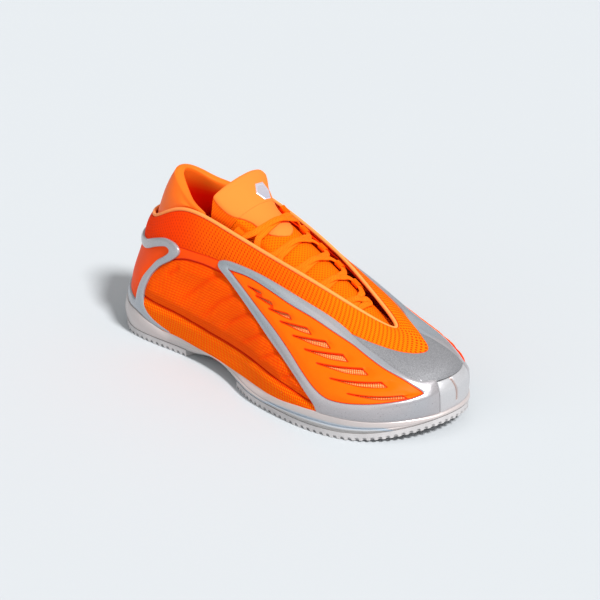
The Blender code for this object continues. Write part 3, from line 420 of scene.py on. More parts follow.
def panel(name, border, look, nodes, top=0.0, thick=2.0, grid=1.4, rim=0.6, holes=(), relief=None,
          ring=2.0, tone=None):
    """A closed panel of the upper with a rolled edge: a fine face and a coarse back joined by its walls.

    relief gives its height and tone a 0 to 1 value for its material, both from (u, t, edge distance).
    """
    loops = [np.asarray(loop) * SCALE for loop in (border, *holes)]
    marks = np.vstack([dense_loop(loop) for loop in loops])
    flat, faces, rim_ids = triangulate(loops, fine_points(loops, marks, grid, rim))
    d = distance_to(flat, marks)
    d[rim_ids] = 0
    u, t = (flat / SCALE).T
    height = top - rim + np.sqrt(np.clip(rim ** 2 - np.clip(rim - d, 0, None) ** 2, 0, None))
    if relief is not None:
        height = height + relief(u, t, d)
    face = offset(u, t, height)
    a, b = chart(u, t, ring)
    data = np.stack([a, b, d], 1)
    coarse = hex_grid(loops[0].min(0), loops[0].max(0), BACK_GRID)
    coarse = coarse[inside(coarse, loops[0]) & (distance_to(coarse, marks) > BACK_RIM)]
    for loop in loops[1:]:
        coarse = coarse[~inside(coarse, loop)]
    back_flat, back_faces, back_ids = triangulate(loops, coarse)
    bu, bt = (back_flat / SCALE).T
    back = offset(bu, bt, top - thick)
    ba, bb = chart(bu, bt, ring)
    count = len(face)
    walls = []
    first = 0
    for loop in loops:
        for i in range(len(loop)):
            p, q = first + i, first + (i + 1) % len(loop)
            walls.append((rim_ids[p], rim_ids[q], back_ids[q] + count, back_ids[p] + count))
        first += len(loop)
    all_faces = [tuple(f) for f in faces] + [tuple(f[::-1] + count) for f in back_faces] + walls
    all_data = np.vstack([data, np.stack([ba, bb, np.zeros(len(back))], 1)])
    obj = mesh_object(name, np.vstack([face, back]), all_faces, look, all_data, 50)
    if tone is not None:
        set_tone(obj, np.r_[tone(u, t, d), np.zeros(len(back))])
    return finish_piece(obj, nodes)


# ---------------------------------------------------------------- materials

class Look:
    """A material with a Principled shader, and short ways to add nodes to it."""

    def __init__(self, name, **sockets):
        self.material = bpy.data.materials.new(name)
        self.material.use_nodes = True
        self.tree = self.material.node_tree
        self.shader = self.tree.nodes["Principled BSDF"]
        for label, value in sockets.items():
            self.shader.inputs[label.replace("_", " ")].default_value = value

    def add(self, kind, **values):
        node = self.tree.nodes.new("ShaderNode" + kind)
        for label, value in values.items():
            setattr(node, label, value)
        return node

    def put(self, socket, value):
        if hasattr(value, "is_output"):
            self.tree.links.new(value, socket)
        else:
            socket.default_value = value

    def math(self, operation, *values):
        node = self.add("Math", operation=operation)
        for socket, value in zip(node.inputs, values):
            self.put(socket, value)
        return node.outputs[0]

    def times(self, a, b):
        return self.math("MULTIPLY", a, b)

    def mix(self, factor, a, b):
        node = self.add("Mix", data_type="RGBA")
        self.put(node.inputs[0], factor)
        self.put(node.inputs[6], a)
        self.put(node.inputs[7], b)
        return node.outputs[2]

    def ramp(self, value, low, high, out_low=0.0, out_high=1.0):
        """A smooth step from one value to another."""
        node = self.add("MapRange", interpolation_type="SMOOTHSTEP")
        for socket, number in zip(node.inputs, (value, low, high, out_low, out_high)):
            self.put(socket, number)
        return node.outputs[0]

    def place(self):
        return self.add("TexCoord").outputs["Object"]

    def split(self, vector):
        node = self.add("SeparateXYZ")
        self.put(node.inputs[0], vector)
        return node.outputs

    def chart(self):
        """Weave coordinates in millimetres, and the distance from the piece's edge."""
        return self.split(self.add("Attribute", attribute_name="chart").outputs["Vector"])

    def tone(self):
        return self.add("Attribute", attribute_name="tone").outputs["Fac"]

    def noise(self, scale, detail=2.0, rough=0.5):
        node = self.add("TexNoise")
        self.put(node.inputs["Vector"], self.place())
        node.inputs["Scale"].default_value = scale
        node.inputs["Detail"].default_value = detail
        node.inputs["Roughness"].default_value = rough
        return node.outputs[0]

    def wave(self, value, pitch):
        """cos of the value over a pitch, from -1 to 1."""
        return self.math("COSINE", self.math("MULTIPLY_ADD", value, 2 * math.pi / pitch, 0.0))

    def blotches(self, colour, share, scale, detail=3, low=0.3, high=0.7):
        """The colour with soft blotches where it is only a share as bright."""
        darker = tuple(share * c for c in colour[:3]) + (1,)
        return self.mix(self.ramp(self.noise(scale, detail), low, high), colour, darker)

    def colour(self, value):
        self.put(self.shader.inputs["Base Color"], value)

    def roughness(self, grains, spread, middle):
        """Roughness that follows a fine grain."""
        rough = self.math("MULTIPLY_ADD", grains, spread, middle - spread / 2)
        self.put(self.shader.inputs["Roughness"], rough)

    def bump(self, height, strength, distance):
        node = self.add("Bump")
        node.inputs["Strength"].default_value = strength
        node.inputs["Distance"].default_value = distance * MM
        self.put(node.inputs["Height"], height)
        self.put(self.shader.inputs["Normal"], node.outputs[0])


def rgb(*values):
    return (*values, 1.0)


def perforated_mesh(name, light, dark, pitch, holes, deep=None, row=None):
    """Knit with staggered holes. It turns to the deep colour where the piece's tone is high; on the shroud's
    inner wall that deep red is painted shade.
    """
    look = Look(name, Roughness=0.85, Specular_IOR_Level=0.06)
    a, b, d = look.chart()
    mask = look.ramp(look.times(look.wave(a, pitch), look.wave(b, row or pitch)), 0.2, 0.7)
    shade = look.blotches(light, 0.9, 45)
    if deep is not None:
        shade = look.mix(look.ramp(look.tone(), 0, 1), shade, deep)
        shade = look.mix(look.ramp(look.tone(), 0, -1), shade, rgb(1.0, 0.19, 0.0))
        mask = look.times(mask, look.ramp(look.tone(), 0, 1, 1, 0.55))
    knit = look.times(look.wave(a, pitch / 4), look.wave(b, pitch / 4))
    shade = look.mix(look.ramp(knit, -1, 1, 0, 0.18), shade, dark)
    shade = look.mix(look.ramp(d, 0.9, 0.2, 0, 0.6), shade, dark)
    look.colour(look.mix(look.times(mask, holes), shade, dark))
    look.bump(look.math("SUBTRACT", look.times(knit, 0.2), mask), 0.6, 0.4)
    return look.material


def ribbed_mesh(name, light, dark, pitch=1.45, row=1.9, slant=0.35, tone=False):
    """Knit with short slanted ribs in staggered rows, darker along its seams. With tone, it also darkens
    where the piece's tone is high: painted shade in the quarter's channels and dent.
    """
    look = Look(name, Roughness=0.85, Specular_IOR_Level=0.05)
    a, b, d = look.chart()
    rib = look.wave(look.math("MULTIPLY_ADD", b, slant, a), pitch)
    pattern = look.math("MULTIPLY_ADD", rib, 0.5, 0.5)
    broken = look.times(pattern, look.ramp(look.wave(b, row), -1.0, 0.2, 0.35, 1.0))
    shade = look.mix(look.ramp(broken, 0.05, 0.75), dark, look.blotches(light, 0.88, 38))
    if tone:
        # Painted shade: darker where the tone marks the quarter's channels and dent.
        shade = look.mix(look.times(look.tone(), 0.55), shade, dark)
    look.colour(look.mix(look.ramp(d, 1.3, 0.3, 0, 0.8), shade, rgb(0.62, 0.008, 0.0)))
    look.bump(broken, 0.7, 0.45)
    return look.material


def inner_textile(name, light, dark, pitch=1.6):
    """A fine brushed weave that needs no weave coordinates."""
    look = Look(name, Roughness=0.9, Specular_IOR_Level=0.06)
    x, y, _ = look.split(look.place())
    weave = look.times(look.wave(x, pitch * MM), look.wave(y, pitch * MM))
    fluff = look.noise(900, 3)
    shade = look.mix(look.ramp(weave, -0.6, 0.8), dark, light)
    look.colour(look.mix(look.ramp(fluff, 0.35, 0.7, 0, 0.4), shade, dark))
    look.bump(look.math("ADD", weave, fluff), 0.35, 0.2)
    return look.material


def smooth_synthetic(name, colour, roughness, grain, edge=None, inner=None):
    """Satin synthetic. It may have a seam colour at its edge, or an inner colour where the tone is high; on
    the collar that deep red is painted shade, standing for orange light bounced round inside its valley.
    """
    look = Look(name, Roughness=roughness, Specular_IOR_Level=0.08)
    grains = look.noise(2600, 2, 0.6)
    shade = look.blotches(colour, 0.94 if inner is None else 0.92, 60)
    if edge is not None:
        shade = look.mix(look.ramp(look.chart()[2], 0.9, 0.25), shade, edge)
    # Painted shade: the inner colour where the tone is high, the collar's deep red inside its valley.
    if inner is not None:
        shade = look.mix(look.tone(), shade, inner)
    look.colour(shade)
    look.roughness(grains, 0.2, roughness)
    look.bump(grains, grain, 0.15)
    return look.material


def pad_synthetic(name, colour, mesh_light, mesh_dark):
    """Smooth synthetic inside the pad's seam, knit outside it, and a dark stitched line between."""
    look = Look(name, Roughness=0.42, Specular_IOR_Level=0.12)
    a, b, d = look.chart()
    grains = look.noise(2600, 2, 0.6)
    dots = look.math("ABSOLUTE", look.times(look.wave(a, 3.0), look.wave(b, 2.6)))
    knit = look.mix(look.ramp(dots, 0.3, 0.8), mesh_light, mesh_dark)
    shade = look.mix(look.ramp(d, -0.1, 0.3), knit, colour)
    seam = look.times(look.ramp(d, -0.5, 0.1), look.ramp(d, 0.9, 0.3))
    look.colour(look.mix(look.times(seam, 0.6), shade, mesh_dark))
    look.put(look.shader.inputs["Roughness"], look.ramp(d, -0.1, 0.3, 1.25, 0.88))
    height = look.math("SUBTRACT", look.times(grains, 0.15), look.times(dots, 0.6))
    height = look.times(height, look.ramp(d, -0.1, 0.3, 1.0, 0.2))
    look.bump(look.math("SUBTRACT", height, seam), 0.4, 0.3)
    return look.material


def sidewall(name):
    """Pearl foam with a cool sheen in its groove and a warm one above it."""
    look = Look(name, Metallic=0.25, Roughness=0.36, Coat_Weight=0.3, Coat_Roughness=0.2)
    d = look.chart()[2]
    drift = look.noise(22, 2)
    shade = look.mix(look.ramp(drift, 0.4, 0.62), rgb(0.40, 0.375, 0.365), rgb(0.42, 0.405, 0.395))
    blue = look.times(look.ramp(d, -0.16, 0.02), look.ramp(d, 0.30, 0.05))
    shade = look.mix(look.times(blue, 0.75), shade, rgb(0.36, 0.46, 0.57))
    warm = look.times(look.ramp(d, 0.1, 0.3), look.ramp(drift, 0.35, 0.6))
    shade = look.mix(look.times(warm, 0.5), shade, rgb(0.62, 0.52, 0.50))
    flakes = look.noise(5200, 1)
    look.colour(look.mix(look.ramp(flakes, 0.5, 0.75, 0, 0.12), shade, rgb(0.8, 0.8, 0.82)))
    look.bump(flakes, 0.04, 0.05)
    return look.material


def pearl(name, base, tint_a, tint_b, metallic=0.5, roughness=0.3, groove=None):
    """Pearl coat that drifts between two tints. Where the piece's tone is high it turns to a dark colour:
    painted shade along the toe guard's groove.
    """
    look = Look(name, Metallic=metallic, Roughness=roughness, Coat_Weight=0.35, Coat_Roughness=0.15)
    flakes = look.noise(5200, 1)
    shade = look.mix(look.ramp(look.noise(14, 2), 0.4, 0.62), tint_a, tint_b)
    shade = look.mix(0.5, shade, base)
    bright = look.mix(look.ramp(flakes, 0.45, 0.7, 0, 0.25), shade, rgb(0.80, 0.81, 0.86))
    # Painted shade: the dark groove colour follows the tone along the toe guard's groove.
    look.colour(bright if groove is None else look.mix(look.tone(), bright, groove))
    look.roughness(look.noise(900, 2), 0.14, roughness)
    look.bump(flakes, 0.05, 0.05)
    return look.material


def rubber(name, colour, roughness=0.6):
    look = Look(name, Roughness=roughness, Specular_IOR_Level=0.4)
    look.colour(look.blotches(colour, 0.86, 70, 4, 0.35, 0.75))
    look.bump(look.noise(1800, 2), 0.12, 0.12)
    return look.material


def coated_textile(name, colour, dark):
    look = Look(name, Roughness=0.6, Metallic=0.15, Specular_IOR_Level=0.3)
    a, b, _ = look.chart()
    weave = look.times(look.wave(a, 0.8), look.wave(b, 0.8))
    fine = look.noise(1500, 2)
    shade = look.mix(look.ramp(fine, 0.35, 0.65), dark, colour)
    look.colour(look.mix(look.ramp(look.noise(30, 3), 0.3, 0.7, 0, 0.3), shade, dark))
    look.bump(look.math("ADD", weave, fine), 0.2, 0.12)
    return look.material


def woven_cord(name, light, dark, pitch=1.1):
    """A weave whose two sets of threads cross at a slant."""
    look = Look(name, Roughness=0.8, Specular_IOR_Level=0.06)
    a, b, _ = look.chart()
    threads = [look.wave(look.math(way, a, b), pitch) for way in ("ADD", "SUBTRACT")]
    weave = look.math("MAXIMUM", *threads)
    look.colour(look.mix(look.ramp(weave, -0.2, 0.9), dark, light))
    look.bump(weave, 0.5, 0.2)
    return look.material


DEEP = rgb(0.70, 0.016, 0.0)
LOOKS = {
    # The shroud's deep colour, rgb(1.0, 0.05, 0.0), is painted shade where it covers the inner wall.
    "shroud": perforated_mesh("shroud_mesh", rgb(1.0, 0.14, 0.0), DEEP, 2.7, 0.95, rgb(1.0, 0.05, 0.0), 4.3),
    # Its dark rib colour also serves as painted shade in the channels and dent that its tone marks.
    "quarter": ribbed_mesh("quarter_mesh", rgb(1.0, 0.155, 0.0), rgb(0.90, 0.042, 0.0), tone=True),
    "band": ribbed_mesh("band_mesh", rgb(1.0, 0.24, 0.0), rgb(1.0, 0.055, 0.0), 1.7, 1.9, 0.0),
    # The backing's light peach ribs are partly its own colour and partly a painted highlight, for the light
    # falling on it through the slots.
    "vent_mesh": ribbed_mesh("vent_backing_mesh", rgb(1.0, 0.42, 0.16), rgb(0.80, 0.10, 0.01), 1.5, 1.5, 0.0),
    "tongue": perforated_mesh("tongue_mesh", rgb(1.0, 0.17, 0.0), rgb(0.82, 0.045, 0.0), 2.6, 0.7),
    "smooth": smooth_synthetic("smooth_orange", rgb(1.0, 0.075, 0.0), 0.5, 0.12, DEEP),
    # The pad's light peach is partly its own colour and partly painted light, as its top faces up to the
    # light.
    "pad": pad_synthetic("padded_synthetic", rgb(1.0, 0.21, 0.03), rgb(1.0, 0.15, 0.0),
                         rgb(0.82, 0.045, 0.0)),
    # The collar's deep red inner colour is painted shade inside its valley.
    "collar": smooth_synthetic("collar_synthetic", rgb(1.0, 0.165, 0.012), 0.42, 0.12,
                               inner=rgb(1.0, 0.008, 0.0)),
    # The film's dark red edge is partly a seam colour at its border and partly painted shade round the slots,
    # where their lips cast shadow.
    "film": smooth_synthetic("vent_film", rgb(1.0, 0.128, 0.0), 0.5, 0.06, rgb(0.85, 0.03, 0.0)),
    # The piping's light peach is partly its own colour and partly a painted highlight along the cord.
    "piping": smooth_synthetic("piping_edge", rgb(1.0, 0.30, 0.07), 0.45, 0.05),
    # The lining's deep red is partly its own orange and partly painted shade, for orange light bounced round
    # inside the shoe.
    "lining": perforated_mesh("lining_textile", rgb(1.0, 0.03, 0.0), rgb(0.6, 0.01, 0.0), 2.4, 0.5),
    "sock": inner_textile("sock_textile", rgb(1.0, 0.15, 0.0), rgb(0.9, 0.07, 0.0)),
    # The eyestay's red is partly its own colour and partly painted shade, for orange light bounced round
    # inside the throat.
    "eyestay": inner_textile("eyestay_textile", rgb(1.0, 0.055, 0.0), rgb(0.9, 0.02, 0.0), 1.2),
    "pearl": pearl("pearl_frame", rgb(0.36, 0.37, 0.385), rgb(0.29, 0.34, 0.39), rgb(0.42, 0.36, 0.365)),
    # Its last colour is painted shade along the toe guard's groove.
    "pearl_sole": pearl("pearl_sole", rgb(0.45, 0.42, 0.42), rgb(0.46, 0.40, 0.40), rgb(0.42, 0.44, 0.46),
                        0.25, 0.42, rgb(0.30, 0.11, 0.05)),
    "sidewall": sidewall("pearl_sidewall"),
    "badge": pearl("badge_pearl", rgb(0.75, 0.75, 0.80), rgb(0.6, 0.6, 0.85), rgb(0.85, 0.7, 0.75),
                   0.6, 0.22),
    "toe": coated_textile("toe_textile", rgb(0.26, 0.26, 0.27), rgb(0.18, 0.18, 0.19)),
    "rubber": rubber("outsole_rubber", rgb(0.52, 0.50, 0.50)),
    "shank": rubber("shank_plastic", rgb(0.16, 0.17, 0.19), 0.45),
    "board": rubber("board", rgb(0.70, 0.70, 0.68), 0.8),
    "lace": woven_cord("lace_weave", rgb(1.0, 0.20, 0.006), rgb(1.0, 0.095, 0.0)),
    "loop": woven_cord("loop_webbing", rgb(1.0, 0.15, 0.0), rgb(0.85, 0.05, 0.0), 0.9),
}

# ---------------------------------------------------------------- panel outlines

SHROUD_EDGE = [(0, 2.50), (0.5, 2.53), (0.94, 2.70), (1.23, 2.84), (1.6, 2.97), (1.9, 2.99), (2.23, 3.02),
               (2.5, 3.07), (2.8, 3.13), (3.2, 3.20), (3.6, 3.25), (4.1, 3.22), (4.6, 3.12), (4.86, 3.06),
               (5.09, 2.98), (5.33, 2.87), (5.56, 2.74), (5.81, 2.66), (6.0, 2.68), (6.15, 2.82),
               (6.3, 3.02), (6.5, 3.15), (6.8, 3.21), (7.2, 3.16), (7.5, 3.14), (7.9, 3.22), (8.4, 3.25),
               (8.8, 3.20), (9.2, 3.13), (9.5, 3.07), (9.77, 3.02), (10.1, 2.99), (10.4, 2.97),
               (10.77, 2.84), (11.06, 2.70), (11.5, 2.53), (12, 2.50)]
LEG_CENTRE = [(4.47, 0.5), (4.38, 0.9), (4.27, 1.2), (4.02, 1.6), (3.78, 1.92), (3.5, 2.25), (3.25, 2.56),
              (3.0, 2.82)]
BAND_SEAM = [(1.27, 0.82), (1.78, 0.80), (2.03, 0.79), (2.31, 0.72), (2.63, 0.65), (2.98, 0.65),
             (3.39, 0.71), (3.79, 0.72), (4.12, 0.68), (4.47, 0.5)]
STRAP_LOWER = [(1.72, 2.42), (1.81, 2.50), (2.10, 2.68), (2.37, 2.76), (2.62, 2.80), (3.0, 2.82)]
QUARTER_REAR = [(1.27, 0.82), (1.30, 1.28), (1.37, 1.70), (1.54, 2.14), (1.72, 2.42)]
TOE_LOWER = [(4.90, 3.02), (4.98, 2.76), (5.17, 2.42), (5.36, 2.02), (5.56, 1.66), (5.73, 1.60)]
TOE_MEDIAL = [(6.6, 3.16), (6.60, 2.4), (6.58, 1.9), (6.52, 1.50)]
FRAME_TOP = [(2.79, 3.02), (2.84, 3.15), (3.05, 3.27), (3.58, 3.37), (4.10, 3.36), (4.61, 3.29),
             (4.86, 3.12), (4.99, 2.84), (5.16, 2.54), (5.30, 2.20), (5.44, 1.92), (5.60, 1.74),
             (5.755, 1.66)]
FRAME_TOP_MEDIAL = [(9.21, 3.02), (9.16, 3.15), (8.95, 3.27), (8.42, 3.37), (7.90, 3.36), (7.45, 3.27),
                    (7.1, 3.24), (6.8, 3.27), (6.55, 3.20), (6.45, 2.95), (6.46, 2.4), (6.45, 1.98),
                    (6.515, 1.62)]
FRAME_FOOT = [(5.755, 0.02), (5.4, 0.09), (5.07, 0.165), (4.7, 0.235), (4.43, 0.27)]
FRAME_LEG = [(4.43, 0.27), (4.39, 0.56), (4.30, 0.84), (4.16, 1.16), (3.94, 1.50), (3.69, 1.78),
             (3.45, 2.08), (3.21, 2.40), (2.98, 2.72), (2.81, 2.92), (2.79, 3.02)]
WINDOW_TOP = [(2.99, 3.03), (3.38, 3.12), (3.73, 3.08), (4.05, 3.01), (4.36, 2.98), (4.58, 2.90),
              (4.86, 2.72), (5.0, 2.52), (5.18, 2.18), (5.37, 1.84), (5.53, 1.40), (5.56, 1.24)]
WINDOW_FOOT = [(5.56, 1.24), (5.41, 1.14), (5.19, 1.08), (4.93, 1.00), (4.72, 0.93), (4.56, 0.92),
               (4.47, 0.99)]
WINDOW_LEG = [(4.47, 0.99), (4.37, 1.14), (4.23, 1.40), (4.03, 1.76), (3.80, 2.08), (3.51, 2.40),
              (3.23, 2.74), (2.99, 3.03)]
# Each slot of the vent panel: rear end, front end and height in rings.
SLOTS = [((3.34, 2.86), (3.54, 2.90), 0.07), ((3.47, 2.72), (3.72, 2.79), 0.08),
         ((3.69, 2.58), (4.01, 2.72), 0.09), ((3.87, 2.42), (4.28, 2.62), 0.11),
         ((4.06, 2.24), (4.52, 2.50), 0.13), ((4.23, 2.05), (4.72, 2.32), 0.14),
         ((4.39, 1.84), (4.93, 2.08), 0.14), ((4.56, 1.58), (5.12, 1.75), 0.13),
         ((4.76, 1.28), (5.32, 1.30), 0.11)]
# Sewn channels of the quarter, from the frame's leg down and back, each fading out.
CHANNELS = [[(2.83, 2.80), (2.55, 2.38), (2.26, 1.72), (2.02, 1.04)],
            [(3.12, 2.50), (2.77, 1.94), (2.55, 1.30), (2.38, 0.84)],
            [(3.37, 2.24), (3.00, 1.56), (2.75, 0.84)],
            [(3.62, 1.94), (3.26, 1.20), (3.05, 0.76)],
            [(3.88, 1.66), (3.63, 1.16), (3.45, 0.80)],
            [(4.12, 1.30), (3.99, 0.98), (3.90, 0.78)]]
DENT = [(1.84, 2.06), (1.99, 2.34)]


def edge_between(start, end):
    return [p for p in SHROUD_EDGE if start <= p[0] <= end]


def both_sides(build):
    """Build a piece on the lateral side and its mirror image on the medial side."""
    build("lateral", lambda points: np.asarray(points, float))
    build("medial", mirrored)


def line_distance(u, t, lines):
    """Distance in millimetres to each line, and how far along it the nearest point is."""
    points = np.stack([u, t], 1) * SCALE
    out = []
    for line in lines:
        marks = smooth_run(line, 0.7) * SCALE
        gaps, numbers = nearest(points, marks)
        out.append((gaps, numbers / (len(marks) - 1)))
    return out


def hump(value, width):
    """A bell curve of height 1."""
    return np.exp(-(value / width) ** 2)


def build_quarters():
    border = outline([BAND_SEAM, LEG_CENTRE, STRAP_LOWER[::-1], QUARTER_REAR[::-1]])

    def side(label, turn):
        lines = [turn(line) if label == "lateral" else turn(line)[::-1] for line in CHANNELS]
        dents = [turn(DENT)]

        def relief(u, t, d):
            low = np.zeros(len(u))
            for gaps, share in line_distance(u, t, lines):
                fade = 1 - smoothstep(0.55, 1.0, share)
                low = np.maximum(low, fade * (hump(gaps, 4.0) + hump(gaps, 0.8) * 0.6))
            for gaps, _ in line_distance(u, t, dents):
                low = np.maximum(low, 0.9 * hump(gaps, 2.2))
            return 1.5 * smoothstep(0, 8, d) - low * smoothstep(0, 3, d + 1.5)

        # The tone darkens the quarter along its sewn channels and in its dent: painted shade in these
        # creases.
        def tone(u, t, d):
            dark = np.zeros(len(u))
            for gaps, share in line_distance(u, t, lines):
                dark = np.maximum(dark, (1 - smoothstep(0.6, 1.0, share)) * hump(gaps, 1.3))
            for gaps, _ in line_distance(u, t, dents):
                dark = np.maximum(dark, hump(gaps, 1.8))
            return dark

        panel(f"quarter_{label}_mesh", turn(border), LOOKS["quarter"],
              ["quarter_" + label], top=0.1, thick=2.2, grid=1.2, rim=0.7, relief=relief, ring=1.5, tone=tone)

    both_sides(side)


# The band's lower edge hangs over the midsole's rim at the waist.
BAND_FOOT = [(4.47, 0.29), (4.38, 0.20), (4.19, 0.10), (3.96, 0.02), (3.53, -0.07), (3.13, -0.10),
             (2.97, -0.10), (2.76, -0.08), (2.4, -0.07), (2.05, -0.05), (1.78, -0.03), (1.5, 0.0)]
WAIST = 2.72
WAIST_REACH = 0.62


def build_bands():
    rear = [(1.5, 0.0), (1.36, 0.42), (1.27, 0.82)]
    border = outline([BAND_SEAM, [(4.47, 0.5), (4.47, 0.29)], BAND_FOOT, rear])

    def side(label, turn):
        seam = turn(smooth_run(BAND_SEAM, 1.0))
        seam = seam[np.argsort(seam[:, 0])]
        middle = float(turn([(WAIST, 0)])[0, 0])

        def relief(u, t, d):
            below = (level(seam, u) - t) * SCALE[1]
            waist = hump(u - middle, WAIST_REACH) * smoothstep(0.45, -0.05, t)
            return 1.3 * smoothstep(0, 5, below) + 1.5 * waist

        panel(f"lower_band_{label}_mesh", inset(turn(border), 0.2), LOOKS["band"],
              ["lower_band_" + label], top=0.5, thick=2.6, grid=1.3, rim=0.7, relief=relief, ring=0.5)

    both_sides(side)


def build_straps():
    top = [(3.0, 3.165)] + edge_between(1.9, 2.9)[::-1]
    rear = [(1.9, 2.99), (1.8, 2.72), (1.72, 2.42)]
    border = outline([STRAP_LOWER, [(3.0, 2.82), (3.0, 3.165)], top, rear])

    def side(label, turn):
        panel(f"midfoot_strap_{label}_smooth", inset(turn(border), 0.15), LOOKS["smooth"],
              ["midfoot_strap_" + label], top=0.3, thick=2.4, grid=1.8, rim=0.4)

    both_sides(side)


# How low the vent meshes and the wings reach, and where the toe guard starts on either side.
HEM = 0.06
GUARD_LATERAL = 5.73
GUARD_MEDIAL = 6.52


def build_vent_meshes():
    top = [(3.0, 3.165)] + edge_between(3.1, 4.87) + [(4.90, 3.02)]
    border = outline([LEG_CENTRE[::-1], [(4.47, 0.5), (4.49, 0.25), (4.50, HEM)],
                      [(4.50, HEM), (5.1, HEM), (GUARD_LATERAL, HEM)], [(GUARD_LATERAL, HEM), TOE_LOWER[-1]],
                      TOE_LOWER[::-1], top[::-1], [(3.0, 3.165), (3.0, 2.82)]])
    panel("vent_mesh_lateral_knit", border, LOOKS["vent_mesh"], ["vent_mesh_lateral"],
          grid=2.2, rim=0.3)
    leg = [(mirror_u(u), t) for u, t in LEG_CENTRE]
    front = [(mirror_u(4.49), 0.25), (mirror_u(4.50), HEM)]
    top = [(9.0, 3.165)] + edge_between(6.7, 8.9)[::-1] + [(6.6, 3.16)]
    border = outline([leg[::-1], [leg[0]] + front, [front[-1], (7.0, HEM), (GUARD_MEDIAL, HEM)],
                      [(GUARD_MEDIAL, HEM), TOE_MEDIAL[-1]], TOE_MEDIAL[::-1], top[::-1],
                      [(9.0, 3.165), leg[-1]]])
    panel("vent_mesh_medial_knit", border, LOOKS["vent_mesh"], ["vent_mesh_medial"],
          grid=2.2, rim=0.3)


def build_toe_panel():
    foot = [(6.52, 1.50), (6.14, 1.56), (5.86, 1.59), (5.73, 1.60)]
    top = [(4.90, 3.02)] + edge_between(5.0, 6.55) + [(6.6, 3.16)]
    border = outline([TOE_LOWER, foot[::-1], TOE_MEDIAL[::-1], top[::-1]])

    panel("toe_panel_textile", border, LOOKS["toe"], ["toe_panel"], top=0.2, thick=2.4,
          grid=1.6, rim=0.4, relief=lambda u, t, d: 0.7 * smoothstep(0, 8, d))


def slot_outline(start, end, height):
    """A slot pointed at the rear, its upper edge straight, its front end cut down at a slant."""
    start, end = np.array(start), np.array(end)
    run = end - start
    drop = np.array([0.02, -height])
    corner = end + run * 0.05 + drop
    lower = [corner, start + run * 0.62 + drop * 0.75, start + run * 0.3 + drop * 0.3, start]
    return outline([[start, start + run * 0.5, end], [end, corner], lower], 0.7)


# Where the wing frames meet the toe guard, and the lowest point there.
FRAME_FRONT = {"lateral": 5.752, "medial": 6.515}
FRAME_HEM = 0.02


def scooped(lines, label):
    """Relief of the vent panel: the film dips below each slot's upper edge and rises a little above it."""
    def relief(u, t, d):
        change = 0.5 * smoothstep(0.4, 5, d)
        for k, ((gaps, share), (start, end)) in enumerate(zip(line_distance(u, t, lines), lines)):
            along = smoothstep(0.05, 0.7, share if label == "lateral" else 1 - share)
            edge = start[1] + (end[1] - start[1]) * (u - start[0]) / (end[0] - start[0])
            dip = (0.6 + 0.12 * k) * hump(gaps, 2.2 + 0.25 * k)
            change += along * np.where(t < edge, -dip, 0.35 * hump(gaps, 1.3))
        return np.clip(change, -1.1, 1.2)
    return relief


def build_wings():
    window = outline([WINDOW_TOP, WINDOW_FOOT, WINDOW_LEG])

    def side(label, turn):
        if label == "lateral":
            border = outline([FRAME_TOP, [FRAME_TOP[-1], FRAME_FOOT[0]], FRAME_FOOT, FRAME_LEG])
        else:
            leg = [(mirror_u(u), t) for u, t in FRAME_LEG]
            corner = (FRAME_FRONT[label], FRAME_HEM)
            foot = [corner] + [(mirror_u(u), t) for u, t in FRAME_FOOT[1:]]
            border = outline([FRAME_TOP_MEDIAL, [FRAME_TOP_MEDIAL[-1], corner], foot, leg])

        def crown(u, t, d):
            front = smoothstep(0.5, 0.12, np.abs(u - FRAME_FRONT[label]))
            return 0.55 * smoothstep(0.3, 4.5, d) - 1.6 * front * smoothstep(1.0, 1.6, t)

        panel(f"wing_frame_{label}_pearl", border, LOOKS["pearl"], ["wing_frame_" + label],
              top=2.2, thick=1.9, grid=1.3, rim=0.8, holes=[turn(window)], relief=crown)
        slots = [turn(slot_outline(*slot)) for slot in SLOTS]
        edges = [turn([start, end]) for start, end, _ in SLOTS]
        panel(f"vent_panel_{label}_film", inset(turn(window), 0.06), LOOKS["film"],
              ["vent_panel_" + label], top=1.6, thick=1.2, grid=0.95, rim=0.4, holes=slots,
              relief=scooped(edges, label))

    both_sides(side)


CLIP_SIDE = [(2.02, 0.04), (1.68, 0.22), (1.47, 0.42), (1.36, 0.66), (1.33, 0.94), (1.35, 1.24),
             (1.42, 1.70), (1.58, 2.14), (1.81, 2.46), (1.97, 2.70), (2.01, 2.88), (1.93, 3.03),
             (1.80, 3.10), (1.57, 3.13), (1.23, 3.00), (0.94, 2.80), (0.5, 2.70), (0, 2.68)]
CLIP_HOLE = [(1.12, 0.56), (1.15, 1.0), (1.24, 1.6), (1.46, 2.26), (1.68, 2.58), (1.78, 2.76),
             (1.72, 2.86), (1.60, 2.85), (1.35, 2.72), (1.0, 2.46), (0.5, 2.37), (0, 2.35)]


def far_side(points):
    return [(-u, t) for u, t in points]


